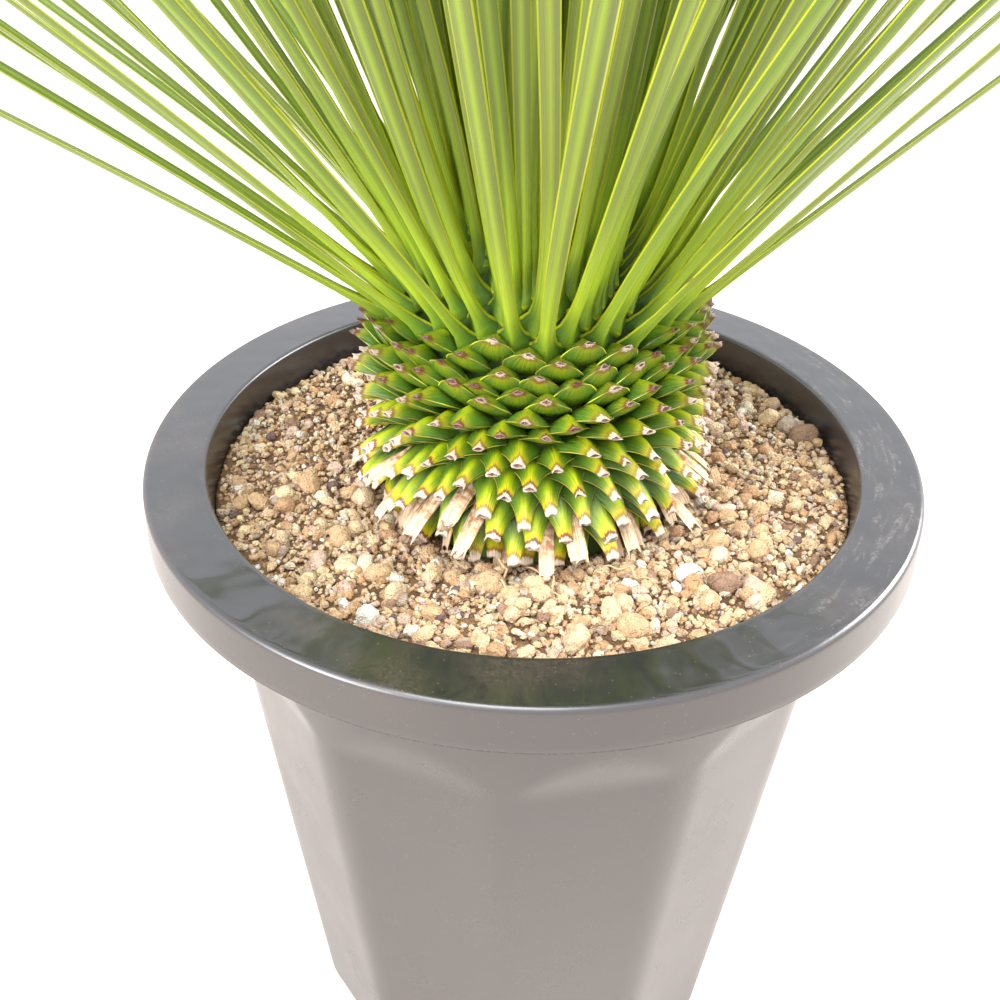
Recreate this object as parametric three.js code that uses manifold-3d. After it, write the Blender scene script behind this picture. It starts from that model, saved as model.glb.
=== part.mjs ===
// Potted yucca: a trimmed trunk with a crown of narrow leaves in a deep nursery pot.
// Millimetres, +Z up. The origin is the centre of the pot's underside.

import * as THREE from "three";
import { mergeVertices } from "three/addons/utils/BufferGeometryUtils.js";
import Module from "manifold-3d";

const wasm = await Module();
wasm.setup();

const { degToRad, lerp, smoothstep } = THREE.MathUtils;

// Clearance between neighbouring pieces.
const GAP = 0.3;
// Vertices nearer than this are one vertex.
const MERGE_DISTANCE = 1e-4;

// Pot: a thin tapered shell with flat panels, under a broad rim with a turned-down lip.
const POT_HEIGHT = 325;
const RIM_RADIUS = 162;
const LIP_DEPTH = 20;
const LIP_WALL = 2.8;
const LIP_FLARE = 0.6;
const LIP_CHAMFER = 1;
const RIM_PLATE = 3.6;
const RIM_EDGE_ROUND = 5;
const RIM_EDGE_STEPS = 4;
const WALL = 2.8;
const FLOOR = 4;
const FOOT_CHAMFER = 3;
const MOUTH_CHAMFER = 1.5;
const BODY_TOP_RADIUS = 139.2;
const BODY_TAPER = 0.098;
const TURN_STEPS = 44;

// Panels: each is flat, and starts under a sloping shoulder that leaves an arched outline on the body.
const PANEL_COUNT = 11;
const PANEL_TURN = degToRad(-90 + 11.4);
const SHOULDER_TOP = POT_HEIGHT - 57;
const SHOULDER_FOOT = POT_HEIGHT - 76;
const PANEL_TOP_DISTANCE = 127.9;
const PANEL_FOOT_DISTANCE = 103.6;
const PANEL_CUT_WIDTH = 150;
const PANEL_CUT_RADIUS = 190;

// Drain holes in the pot's floor.
const DRAIN_COUNT = 6;
const DRAIN_RADIUS = 8;
const DRAIN_CIRCLE = 66;
const DRAIN_SIDES = 12;

// Soil: a rough surface with raised clods.
const SOIL_LEVEL = POT_HEIGHT - 17;
const SOIL_RINGS = 5;
const SOIL_RING_STEPS = 30;
const SOIL_ROUGHNESS = 1.3;
const SOIL_DIP = 6;
const SOIL_DIP_RADIUS = 92;
const CLOD_COUNT = 30;
const CLOD_SMALLEST = 4.5;
const CLOD_LARGEST = 8.5;
const CLOD_FLATNESS = 0.78;
const CLOD_INNER_RADIUS = 90;
const CLOD_OUTER_RADIUS = 133;

// Trunk: a core that stands in the soil, covered in trimmed leaf bases.
const CORE_RADIUS = 56;
const CORE_FOOT_RADIUS = 48;
const CORE_FOOT = SOIL_LEVEL - 45;
const CORE_WAIST = SOIL_LEVEL - 12;
const CORE_TOP = POT_HEIGHT + 59;
const CORE_STEPS = 24;
const STUB_COUNT = 290;
const STUB_FIRST_HEIGHT = POT_HEIGHT + 4;
const STUB_LAST_HEIGHT = CORE_TOP - 2;
const STUB_LOW_PITCH = -45;
const STUB_HIGH_PITCH = 40;
const STUB_REACH = 73;
const STUB_LOW_LONGEST = 28;
const STUB_HIGH_LONGEST = 19;
const STUB_SCATTER = 2;
const STUB_STATIONS = [
  { along: 0, width: 12.5, thickness: 4.4 },
  { along: 1, width: 6.4, thickness: 3.8 },
];

// Crown: live leaves all over a domed heart. A leaf leaves the heart at its base pitch and bends to its own.
const HEART_HEIGHT = 58;
const HEART_ROWS = 5;
const LEAF_COUNT = 200;
const LEAF_LENGTH = 460;
const INNER_LEAF_LENGTH = 390;
const LENGTH_SCATTER = 0.1;
const FIRST_LEAF_RISE = 2;
const LAST_LEAF_RISE = 57;
const BASE_LOW_PITCH = 36;
const LEAF_LOW_PITCH = 37.5;
const LEAF_HIGH_PITCH = 88;
const LEAF_SCATTER = 5;
const CROWN_LEAN = 9;
const CROWN_LEAN_TURN = degToRad(117);
const BASE_REACH = 0.12;
const BEND_REACH = 0.35;
const LEAF_DROOP = 0.07;
const FRONT_TRIM_RISE = 11;
const HEART_STUB_LENGTH = 19;
const LEAF_STATIONS = [
  { along: 0, width: 9.5, thickness: 3.8 },
  { along: 0.12, width: 5.4, thickness: 2.6 },
  { along: 0.5, width: 6.8, thickness: 2 },
  { along: 1, width: 0.8, thickness: 0.7 },
];

// The angle between one leaf and the next round the stem.
const GOLDEN_ANGLE = Math.PI * (3 - Math.sqrt(5));
const ROOT_SINK = 5;

// Repeatable random numbers from 0 to 1.
function seededRandom(seed) {
  let state = seed;
  return () => {
    state = (state * 1664525 + 1013904223) % 4294967296;
    return state / 4294967296;
  };
}

// A closed geometry as a solid, with shared vertices merged and collapsed triangles left out.
function solidOf(geometry) {
  const bare = geometry.clone();
  bare.deleteAttribute("normal");
  bare.deleteAttribute("uv");
  const merged = mergeVertices(bare, MERGE_DISTANCE);
  const index = merged.index.array;
  const kept = [];
  for (let i = 0; i < index.length; i += 3) {
    const [a, b, c] = index.slice(i, i + 3);
    if (a !== b && b !== c && c !== a) kept.push(a, b, c);
  }
  const vertProperties = new Float32Array(merged.attributes.position.array);
  const mesh = new wasm.Mesh({ numProp: 3, vertProperties, triVerts: new Uint32Array(kept) });
  return new wasm.Manifold(mesh);
}

// A solid's largest body as a geometry; sealed hollows come out filled.
function geometryOf(solid) {
  const bodies = solid.decompose().sort((a, b) => b.volume() - a.volume());
  const mesh = bodies[0].getMesh();
  const geometry = new THREE.BufferGeometry();
  geometry.setAttribute("position", new THREE.BufferAttribute(new Float32Array(mesh.vertProperties), 3));
  geometry.setIndex(new THREE.BufferAttribute(new Uint32Array(mesh.triVerts), 1));
  geometry.computeVertexNormals();
  return geometry;
}

function fuse(solids) {
  return solids.reduce((whole, piece) => whole.add(piece));
}

// A solid of revolution about Z from [radius, height] pairs that run upwards on the outside.
function turned(profile, steps) {
  const points = profile.map(([radius, height]) => new THREE.Vector2(radius, height));
  return new THREE.LatheGeometry(points, steps).rotateX(Math.PI / 2);
}

// Points on a quarter round from one angle to another, in degrees.
function arc(centreRadius, centreHeight, round, from, to, steps) {
  return Array.from({ length: steps + 1 }, (_, i) => {
    const angle = degToRad(lerp(from, to, i / steps));
    return [centreRadius + round * Math.cos(angle), centreHeight + round * Math.sin(angle)];
  });
}

function bodyRadius(height) {
  return BODY_TOP_RADIUS - BODY_TAPER * (POT_HEIGHT - height);
}

// Everything outside one panel, moved in by an inset: its side view, extruded along the panel.
function panelCutter(index, inset) {
  const shape = new THREE.Shape([
    new THREE.Vector2(bodyRadius(SHOULDER_TOP) - inset, SHOULDER_TOP),
    new THREE.Vector2(PANEL_TOP_DISTANCE - inset, SHOULDER_FOOT),
    new THREE.Vector2(PANEL_FOOT_DISTANCE - inset, 0),
    new THREE.Vector2(PANEL_FOOT_DISTANCE - inset, -1),
    new THREE.Vector2(PANEL_CUT_RADIUS, -1),
    new THREE.Vector2(PANEL_CUT_RADIUS, SHOULDER_TOP),
  ]);
  const geometry = new THREE.ExtrudeGeometry(shape, { depth: PANEL_CUT_WIDTH, bevelEnabled: false });
  geometry.translate(0, 0, -PANEL_CUT_WIDTH / 2);
  const angle = PANEL_TURN + (index * 2 * Math.PI) / PANEL_COUNT;
  const outwards = new THREE.Vector3(Math.cos(angle), Math.sin(angle), 0);
  const up = new THREE.Vector3(0, 0, 1);
  const sideways = new THREE.Vector3().crossVectors(outwards, up);
  geometry.applyMatrix4(new THREE.Matrix4().makeBasis(outwards, up, sideways));
  return solidOf(geometry);
}

// The pot's tapered body, moved in by an inset, as a full solid with its panels cut flat.
function vessel(inset, foot, top, footChamfer, topChamfer) {
  const radius = (height) => bodyRadius(height) - inset;
  const profile = [
    [0, foot],
    [radius(foot) - footChamfer, foot],
    [radius(foot), foot + footChamfer],
    [radius(top - topChamfer), top - topChamfer],
    [radius(top) + topChamfer, top],
    [0, top],
  ];
  let body = solidOf(turned(profile, TURN_STEPS));
  for (let i = 0; i < PANEL_COUNT; i += 1) body = body.subtract(panelCutter(i, inset));
  return body;
}

// The flat rim and its lip, open underneath.
function rimSolid() {
  const inner = bodyRadius(POT_HEIGHT) - WALL - MOUTH_CHAMFER;
  const plateFoot = POT_HEIGHT - RIM_PLATE;
  const lipFoot = POT_HEIGHT - LIP_DEPTH;
  const edge = RIM_RADIUS - RIM_EDGE_ROUND;
  const profile = [
    [inner, plateFoot],
    [RIM_RADIUS - LIP_WALL, plateFoot],
    [RIM_RADIUS - LIP_WALL, lipFoot + LIP_CHAMFER],
    [RIM_RADIUS - LIP_WALL + LIP_CHAMFER, lipFoot],
    [RIM_RADIUS + LIP_FLARE - LIP_CHAMFER, lipFoot],
    [RIM_RADIUS + LIP_FLARE, lipFoot + LIP_CHAMFER],
    ...arc(edge, POT_HEIGHT - RIM_EDGE_ROUND, RIM_EDGE_ROUND, 0, 90, RIM_EDGE_STEPS),
    [inner, POT_HEIGHT],
    [inner, plateFoot],
  ];
  return solidOf(turned(profile, TURN_STEPS));
}

function drainHoles() {
  return Array.from({ length: DRAIN_COUNT }, (_, i) => {
    const angle = (i * 2 * Math.PI) / DRAIN_COUNT;
    const hole = new THREE.CylinderGeometry(DRAIN_RADIUS, DRAIN_RADIUS, 4 * FLOOR, DRAIN_SIDES);
    hole.rotateX(Math.PI / 2);
    hole.translate(DRAIN_CIRCLE * Math.cos(angle), DRAIN_CIRCLE * Math.sin(angle), FLOOR);
    return solidOf(hole);
  });
}

function potSolid() {
  const hollow = vessel(WALL, FLOOR, POT_HEIGHT, 0, MOUTH_CHAMFER);
  const outside = vessel(0, 0, POT_HEIGHT - RIM_PLATE / 2, FOOT_CHAMFER, 0);
  return outside.add(rimSolid()).subtract(hollow).subtract(fuse(drainHoles()));
}

// The soil's height at a radius, with a shallow dip round the trunk.
function soilHeight(radius) {
  const dip = 1 - smoothstep(radius, CORE_RADIUS, SOIL_DIP_RADIUS);
  return SOIL_LEVEL - SOIL_DIP * dip;
}

// The soil's bulk, whose top is a ring grid with its heights moved at random.
function soilBulk(random) {
  const profile = [[0, 0], [RIM_RADIUS, 0]];
  for (let ring = 0; ring <= SOIL_RINGS; ring += 1) {
    const radius = lerp(RIM_RADIUS, CORE_FOOT_RADIUS, ring / SOIL_RINGS);
    profile.push([radius, soilHeight(radius)]);
  }
  profile.push([0, soilHeight(0)]);
  const geometry = turned(profile, SOIL_RING_STEPS);
  const position = geometry.attributes.position;
  const rows = profile.length;
  for (let i = 0; i < position.count; i += 1) {
    const column = Math.floor(i / rows);
    const row = i % rows;
    const onTop = row > 2 && row < rows - 1 && column < SOIL_RING_STEPS;
    if (onTop) position.setZ(i, position.getZ(i) + SOIL_ROUGHNESS * (2 * random() - 1));
  }
  // The seam's last column lies on the first.
  for (let row = 0; row < rows; row += 1) {
    position.setZ(SOIL_RING_STEPS * rows + row, position.getZ(row));
  }
  return solidOf(geometry);
}

// Clods half sunk in the soil, spread evenly by turning each one by the golden angle.
function clods(random) {
  return Array.from({ length: CLOD_COUNT }, (_, i) => {
    const angle = i * GOLDEN_ANGLE;
    const spread = Math.sqrt((i + 0.5) / CLOD_COUNT);
    const distance = lerp(CLOD_INNER_RADIUS, CLOD_OUTER_RADIUS, spread);
    const radius = lerp(CLOD_SMALLEST, CLOD_LARGEST, random() ** 2);
    const clod = new THREE.IcosahedronGeometry(radius, 0);
    clod.scale(1, lerp(CLOD_FLATNESS, 1, random()), CLOD_FLATNESS);
    clod.rotateX(random() * Math.PI).rotateZ(random() * Math.PI);
    clod.translate(distance * Math.cos(angle), distance * Math.sin(angle), SOIL_LEVEL);
    return solidOf(clod);
  });
}

function soilSolid() {
  const random = seededRandom(7);
  const space = vessel(WALL + GAP, FLOOR + GAP, POT_HEIGHT, 0, 0);
  const holeRadius = CORE_RADIUS + GAP;
  const hole = turned(
    [[0, CORE_FOOT - GAP], [CORE_FOOT_RADIUS + GAP, CORE_FOOT - GAP], [holeRadius, CORE_WAIST],
      [holeRadius, POT_HEIGHT], [0, POT_HEIGHT]],
    CORE_STEPS,
  );
  return fuse([soilBulk(random), ...clods(random)]).intersect(space).subtract(solidOf(hole));
}

// A leaf or a stub: a three-sided rod along a curve in one upright plane. Its flat face looks up and
// inwards and its keel down and outwards. Each station gives the rod's width and thickness there.
function rodAlong(curve, sideways, stations) {
  const steps = stations.length - 1;
  const section = new THREE.Shape([
    new THREE.Vector2(-0.5, 0),
    new THREE.Vector2(0.5, 0),
    new THREE.Vector2(0, 1),
  ]);
  const geometry = new THREE.ExtrudeGeometry(section, { depth: steps, steps, bevelEnabled: false });
  const position = geometry.attributes.position;
  const point = new THREE.Vector3();
  const below = new THREE.Vector3();
  for (let i = 0; i < position.count; i += 1) {
    const station = stations[Math.round(position.getZ(i))];
    curve.getPoint(station.along, point);
    below.crossVectors(curve.getTangent(station.along), sideways).negate();
    point.addScaledVector(sideways, -position.getX(i) * station.width);
    point.addScaledVector(below, position.getY(i) * station.thickness);
    position.setXYZ(i, point.x, point.y, point.z);
  }
  return solidOf(geometry);
}

// The way out from the stem's axis, the level line beside it and a direction at a pitch between them.
function facing(index) {
  const turn = index * GOLDEN_ANGLE;
  const outwards = new THREE.Vector3(Math.cos(turn), Math.sin(turn), 0);
  const sideways = new THREE.Vector3(-Math.sin(turn), Math.cos(turn), 0);
  const direction = (pitch) =>
    new THREE.Vector3(0, 0, Math.sin(pitch)).addScaledVector(outwards, Math.cos(pitch));
  return { outwards, sideways, direction };
}

// How far the crown's lean tips one leaf upwards, in degrees.
function leanPitch(index) {
  return -CROWN_LEAN * Math.cos(index * GOLDEN_ANGLE - CROWN_LEAN_TURN);
}

// Where a leaf starts: inside the stem, under its place on the stem's surface.
function rootPoint(index, radius, height, pitch) {
  const { outwards, direction } = facing(index);
  const root = new THREE.Vector3(0, 0, height).addScaledVector(outwards, radius);
  return root.addScaledVector(direction(pitch), -ROOT_SINK);
}

function stub(index, radius, height, pitch, length) {
  const { sideways, direction } = facing(index);
  const root = rootPoint(index, radius, height, pitch);
  const end = root.clone().addScaledVector(direction(pitch), length + ROOT_SINK);
  return rodAlong(new THREE.LineCurve3(root, end), sideways, STUB_STATIONS);
}

// The stubs fan out from drooping at the soil to rising under the crown.
function trunkStub(index, random) {
  const along = index / (STUB_COUNT - 1);
  const height = lerp(STUB_FIRST_HEIGHT, STUB_LAST_HEIGHT, along);
  const fan = lerp(STUB_LOW_PITCH, STUB_HIGH_PITCH, smoothstep(along, 0, 1));
  const pitch = degToRad(fan + leanPitch(index) * along ** 2);
  const longest = lerp(STUB_LOW_LONGEST, STUB_HIGH_LONGEST, along);
  const length = Math.min((STUB_REACH - CORE_RADIUS) / Math.cos(pitch), longest) + STUB_SCATTER * random();
  return stub(index, CORE_RADIUS, height, pitch, length);
}

function trunkSolid() {
  const random = seededRandom(11);
  const core = turned(
    [[0, CORE_FOOT], [CORE_FOOT_RADIUS, CORE_FOOT], [CORE_RADIUS, CORE_WAIST], [CORE_RADIUS, CORE_TOP],
      [0, CORE_TOP]],
    CORE_STEPS,
  );
  const stubs = Array.from({ length: STUB_COUNT }, (_, i) => trunkStub(i, random));
  return fuse([solidOf(core), ...stubs]);
}

function heartRadius(rise) {
  return CORE_RADIUS * Math.sqrt(1 - (rise / HEART_HEIGHT) ** 2);
}

// A leaf's spine: it starts along its base pitch, bends to its own pitch and droops towards the tip.
function leafSpine(index, root, basePitch, pitch, length) {
  const { direction } = facing(index);
  const base = root.clone().addScaledVector(direction(basePitch), BASE_REACH * length);
  const bend = base.clone().addScaledVector(direction(pitch), BEND_REACH * length);
  const tip = base.clone().addScaledVector(direction(pitch), (1 - BASE_REACH) * length);
  tip.z -= LEAF_DROOP * length * Math.cos(pitch);
  return new THREE.CubicBezierCurve3(root, base, bend, tip);
}

// A leaf of the crown, or a stub where the crown's front is trimmed. Equal steps up the dome share its
// surface evenly.
function crownLeaf(order, random) {
  const index = STUB_COUNT + order;
  const share = (order + 0.5) / LEAF_COUNT;
  const rise = lerp(FIRST_LEAF_RISE, LAST_LEAF_RISE, share);
  const radius = heartRadius(rise);
  const height = CORE_TOP + GAP + rise;
  const lean = leanPitch(index) * (1 - share);
  const scatter = LEAF_SCATTER * (random() - 0.5);
  const basePitch = degToRad(lerp(BASE_LOW_PITCH, LEAF_HIGH_PITCH, share) + lean);
  const pitch = degToRad(lerp(LEAF_LOW_PITCH, LEAF_HIGH_PITCH, share) + lean + scatter);
  const trimmed = rise < -FRONT_TRIM_RISE * Math.sin(index * GOLDEN_ANGLE);
  if (trimmed) return stub(index, radius, height, basePitch, HEART_STUB_LENGTH);
  const fullLength = lerp(LEAF_LENGTH, INNER_LEAF_LENGTH, share ** 2);
  const length = fullLength * (1 + LENGTH_SCATTER * (random() - 0.5));
  const root = rootPoint(index, radius, height, basePitch);
  const spine = leafSpine(index, root, basePitch, pitch, length);
  return rodAlong(spine, facing(index).sideways, LEAF_STATIONS);
}

function crownSolid() {
  const random = seededRandom(23);
  const foot = CORE_TOP + GAP;
  const profile = [[0, foot]];
  for (let row = 0; row <= HEART_ROWS; row += 1) {
    const rise = HEART_HEIGHT * Math.sin((row / HEART_ROWS) * (Math.PI / 2));
    profile.push([row < HEART_ROWS ? heartRadius(rise) : 0, foot + rise]);
  }
  const heart = solidOf(turned(profile, CORE_STEPS));
  const leaves = Array.from({ length: LEAF_COUNT }, (_, i) => crownLeaf(i, random));
  // The leaves' roots end level with the heart's underside, clear of the trunk.
  const under = new THREE.BoxGeometry(2 * STUB_REACH, 2 * STUB_REACH, HEART_HEIGHT);
  under.translate(0, 0, foot - HEART_HEIGHT / 2);
  return fuse([heart, ...leaves]).subtract(solidOf(under));
}

function piece(name, solid, color, roughness) {
  const material = new THREE.MeshStandardMaterial({ color, roughness, metalness: 0 });
  const mesh = new THREE.Mesh(geometryOf(solid), material);
  mesh.name = name;
  return mesh;
}

const yucca = new THREE.Group();
yucca.add(piece("pot", potSolid(), 0x2b2a2a, 0.35));
yucca.add(piece("soil", soilSolid(), 0xb3976f, 0.95));
yucca.add(piece("trunk", trunkSolid(), 0x7fa233, 0.5));
yucca.add(piece("leaf_crown", crownSolid(), 0x86a850, 0.45));

export default yucca;
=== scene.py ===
"""A potted yucca: a panelled nursery pot, gravelly soil, a trunk of trimmed leaf bases and a crown of leaves.

Each piece is made by its own operator, from sizes and colours that the sidebar's panel shows. Lengths are in
metres, +Z is up, and the origin is the centre of the pot's underside.
"""

import math

import bmesh
import bpy
import numpy as np
from bpy.props import FloatProperty, FloatVectorProperty, IntProperty, PointerProperty
from mathutils import Matrix, Vector


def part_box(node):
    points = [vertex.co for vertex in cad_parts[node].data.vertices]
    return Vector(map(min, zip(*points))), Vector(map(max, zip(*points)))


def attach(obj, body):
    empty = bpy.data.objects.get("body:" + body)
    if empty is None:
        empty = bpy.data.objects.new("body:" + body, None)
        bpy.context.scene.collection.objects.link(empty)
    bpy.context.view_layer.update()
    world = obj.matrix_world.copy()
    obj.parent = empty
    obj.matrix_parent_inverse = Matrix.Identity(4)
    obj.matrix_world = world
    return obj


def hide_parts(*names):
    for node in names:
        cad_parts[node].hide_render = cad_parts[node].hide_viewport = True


bl_info = {
    "name": "Potted yucca",
    "version": (1, 0, 0),
    "blender": (4, 5, 0),
    "location": "3D View > Sidebar > Yucca",
    "description": "Makes a potted yucca piece by piece, with its materials, lights and camera",
    "category": "Object",
}

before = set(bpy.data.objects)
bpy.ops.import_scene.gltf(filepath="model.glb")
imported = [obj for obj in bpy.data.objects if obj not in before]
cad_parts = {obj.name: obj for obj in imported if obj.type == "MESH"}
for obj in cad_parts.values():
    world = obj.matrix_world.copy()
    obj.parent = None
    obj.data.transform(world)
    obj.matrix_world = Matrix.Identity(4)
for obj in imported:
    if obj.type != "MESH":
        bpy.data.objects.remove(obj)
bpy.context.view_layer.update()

# Pot: the rim's radius and the height come from the frame.
POT_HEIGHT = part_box("pot")[1][2]
LIP_FLARE = 0.0006
RIM_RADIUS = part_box("pot")[1][0] - LIP_FLARE
LIP_DEPTH = 0.020
LIP_WALL = 0.0028
LIP_ROUND = 0.0009
RIM_PLATE = 0.0036
RIM_EDGE_ROUND = 0.0027
MOUTH_ROUND = 0.0016
WALL = 0.0028
FLOOR = 0.004
FOOT_ROUND = 0.003
BODY_TOP_RADIUS = 0.1392
BODY_TAPER = 0.098
PANEL_COUNT = 11
PANEL_PITCH = 2 * math.pi / PANEL_COUNT
PANEL_TURN = math.radians(-90 + 11.4)
SHOULDER_TOP = POT_HEIGHT - 0.057
SHOULDER_FOOT = POT_HEIGHT - 0.076
PANEL_TOP_DISTANCE = 0.1279
PANEL_FOOT_DISTANCE = 0.1036
POT_COLUMNS = PANEL_COUNT * 40
DRAIN_COUNT = 6
DRAIN_RADIUS = 0.008
DRAIN_CIRCLE = 0.066
DRAIN_SEGMENTS = 24

# Soil, and the loose things on it.
GAP = 0.0003
SOIL_LEVEL = POT_HEIGHT - 0.017
SOIL_DIP = 0.006
SOIL_DIP_RADIUS = 0.092
SOIL_RADIUS = BODY_TOP_RADIUS - BODY_TAPER * (POT_HEIGHT - SOIL_LEVEL) - WALL
SOIL_COLUMNS = PANEL_COUNT * 16
SOIL_RINGS = 40
SOIL_EDGE = 0.0005
POLE_RADIUS = 0.01
SWELL_COUNT = 8
SWELL_LENGTHS = (0.025, 0.06)
SWELL_SEED = 5
GRAVEL_SEED = 31
COARSE_TURN = math.radians(-60)
STONE_MARGIN = 0.004
STONE_STRETCH = (0.66, 1.15)
STONE_FLATTENING = 0.85
LUMP_COUNT = 6
CHIP_COUNT = 11
CHIP_REACH = (0.74, 1.06)
CHIP_SLANT = 0.15
STRAND_STEPS = 40
STRAND_COLUMNS = 6
STRAND_LIFT = 0.0052
STRAND_WAVE = 0.0012

# Trunk: a core with trimmed leaf bases, which are numbered up a spiral that the crown's leaves carry on.
CORE_RADIUS = 0.056
CORE_FOOT_RADIUS = 0.048
CORE_FOOT = SOIL_LEVEL - 0.045
CORE_WAIST = SOIL_LEVEL - 0.012
CORE_TOP = POT_HEIGHT + 0.059
CORE_COLUMNS = 48
GOLDEN_ANGLE = math.pi * (3 - math.sqrt(5))
ROOT_SINK = 0.005
STUB_COUNT = 290
STUB_FIRST_HEIGHT = POT_HEIGHT + 0.004
STUB_LAST_HEIGHT = CORE_TOP - 0.002
STUB_LOW_PITCH = -45
STUB_HIGH_PITCH = 44
STUB_REACH = 0.073
STUB_LOW_LONGEST = 0.028
STUB_HIGH_LONGEST = 0.019
STUB_SCATTER = 0.002
STUB_COLUMNS = 12
STUB_SEED = 41
OLD_COUNT = 44
OLD_LENGTH = 0.020
DRY_HEIGHT = 0.016
DRY_SHARE = 0.42
FLARE_START = 0.0010
LOW_FLARE_END, HIGH_FLARE_END = 0.0165, 0.0088
LOW_FLARE_POWER, HIGH_FLARE_POWER = 2.0, 0.5
LOW_ARCH, HIGH_ARCH = 0.0042, 0.0005
DRY_CURL = 0.0012
PITCH_SPREAD = 0.07
YAW_SPREAD = 0.08
HOLLOW_WIDTH = 0.62
RAGGED_HEIGHT = 0.0012
# Rows of a trimmed leaf base, as distances back from its cut end. The last is the floor of the hollow cut.
STUB_ROWS = np.array([0.034, 0.020, 0.016, 0.0135, 0.0115, 0.0095, 0.0078, 0.006, 0.0045, 0.0032, 0.0022,
                      0.001, 0.0, 0.0009])
# The leaf bases' attribute named back counts distances from the cut in this unit.
BACK_UNIT = 0.02

# Crown.
HEART_HEIGHT = 0.058
LEAF_COUNT = 200
LEAF_LENGTH = 0.459
INNER_LEAF_LENGTH = 0.3893
LENGTH_SCATTER = 0.1
FIRST_LEAF_RISE = 0.002
LAST_LEAF_RISE = 0.057
BASE_LOW_PITCH = 36
LEAF_LOW_PITCH = 37.5
LEAF_HIGH_PITCH = 88
LEAF_SCATTER = 5
CROWN_LEAN = 9
CROWN_LEAN_TURN = math.radians(117)
BASE_REACH = 0.12
BEND_REACH = 0.35
LEAF_DROOP = 0.07
FRONT_TRIM_RISE = 0.011
HEART_STUB_LENGTH = 0.019
FIRST_FILL_LEAF = 80
FILL_COUNT = 70
LEAF_ROWS = 25
LEAF_ROW_CROWDING = 1.75
LEAF_COLUMNS = 8
HEART_ROWS = 11
TRUNK_SEED = 11
CROWN_SEED = 23
BLADE_SEED = 53

# Stage.
CAMERA_TARGET = Vector((-0.01345, -0.00038, POT_HEIGHT - 0.03152))
SENSOR = 36.0
LIGHT_AIM = Vector((0, 0, 0.3))
# Position, diameter and share of the key power of each light.
LIGHTS = {
    "overhead": ((-0.2, -0.8, 1.8), 1.0, 0.6),
    "front left": ((-1.3, -1.0, 1.0), 0.9, 0.8),
    "right": ((1.4, 0.5, 1.1), 1.0, 0.9),
}
SWEEP_START = 3.0
SWEEP_RADIUS = 2.0
FLOOR_REACH = (-2.0, 5.0)
FLOOR_SIDES = (-4.0, 4.0)
FLOOR_DROP = 0.0002


# ---------------------------------------------------------------- sizes and colours a user may change


def length_property(name, description, default):
    return FloatProperty(name=name, description=description, default=default, min=0.0, unit="LENGTH",
                         subtype="DISTANCE", precision=4)


def colour_property(name, description, default):
    return FloatVectorProperty(name=name, description=description, default=default, size=3, min=0.0, max=1.0,
                               subtype="COLOR")


def share_property(name, description, default):
    return FloatProperty(name=name, description=description, default=default, min=0.0, max=1.0,
                         subtype="FACTOR")


def count_property(name, description, default):
    return IntProperty(name=name, description=description, default=default, min=0)


def angle_property(name, description, degrees):
    return FloatProperty(name=name, description=description, default=math.radians(degrees), subtype="ANGLE")


class PotLook(bpy.types.PropertyGroup):
    """The pot's edges and plastic."""

    panel_edge: length_property("Panel edge", "How softly each panel meets the ridges beside it", 0.0011)
    plastic: colour_property("Plastic", "Colour of the moulded plastic", (0.016, 0.015, 0.017))
    dust: colour_property("Dust", "Colour of the dust", (0.50, 0.335, 0.22))
    # The scuffs are strongest on the rim's right side, where their pale colour is also a painted reflection.
    scuff_and_sheen: colour_property("Scuff", "Colour of the scuffs on the rim", (0.50, 0.44, 0.40))
    # Painted shadow: a dark band along the lip's lower edge stands in for the shade where the lip overhangs
    # the body.
    painted_shadow: colour_property("Dirt", "Colour of the dirt caught under the lip", (0.03, 0.022, 0.018))
    film: share_property("Film", "How much dust clings to the upright faces", 0.036)
    roughness: share_property("Roughness", "Roughness of clean plastic", 0.085)


class SoilLook(bpy.types.PropertyGroup):
    """The soil's unevenness and fines, and the numbers of its stones."""

    unevenness: length_property("Unevenness", "Height of the soil's low swells", 0.0011)
    grit_count: count_property("Grit", "Number of fine grains", 9400)
    gravel_count: count_property("Gravel", "Number of middling grains", 2100)
    clod_count: count_property("Clods", "Number of large clods", 170)
    # The bed's dark colour is partly the fines' own and partly painted shade in the gaps between the stones.
    bed: colour_property("Bed", "Colour of the fines between the grains", (0.30, 0.18, 0.095))


class TrunkLook(bpy.types.PropertyGroup):
    """The trimmed leaf bases."""

    base_width: length_property("Base width", "Width of a leaf base where it clasps the trunk", 0.0165)
    cut_width: length_property("Cut width", "Width of a leaf base at its cut", 0.0064)
    cut_thickness: length_property("Cut thickness", "Thickness of a leaf base near its cut", 0.0040)
    # Besides the ends' own colour, this is the painted highlight down each leaf base's middle and on its
    # belly.
    ripe_and_highlight: colour_property("Ripe green", "Colour of the ends that see the sun", (0.52, 0.60, 0.003))
    green: colour_property("Green", "Colour of an older leaf base", (0.34, 0.45, 0.003))
    young: colour_property("Young green", "Colour of a leaf base near the crown", (0.115, 0.19, 0.008))
    # Deep green is also painted shade: on the flanks and edges of the leaf bases and towards where they clasp
    # the trunk.
    deep: colour_property("Deep green", "Colour nearer the trunk", (0.065, 0.15, 0.016))
    shade: colour_property("Shaded green", "Colour deep between the leaf bases", (0.02, 0.045, 0.010))
    margin: colour_property("Margin", "Colour of a leaf base's edges", (0.66, 0.54, 0.10))
    amber: colour_property("Amber", "Colour between the green and the scorched band", (0.62, 0.40, 0.01))
    cut: colour_property("Cut", "Colour of the dry cut ends", (0.72, 0.60, 0.48))
    tan: colour_property("Tan", "Colour of the fibres in the cut ends", (0.42, 0.22, 0.13))
    stain: colour_property("Stain", "Colour in the hollow cuts, and of young cuts", (0.12, 0.045, 0.035))
    scorch: colour_property("Scorch", "Colour of the brown band behind each cut", (0.16, 0.045, 0.02))


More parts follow.
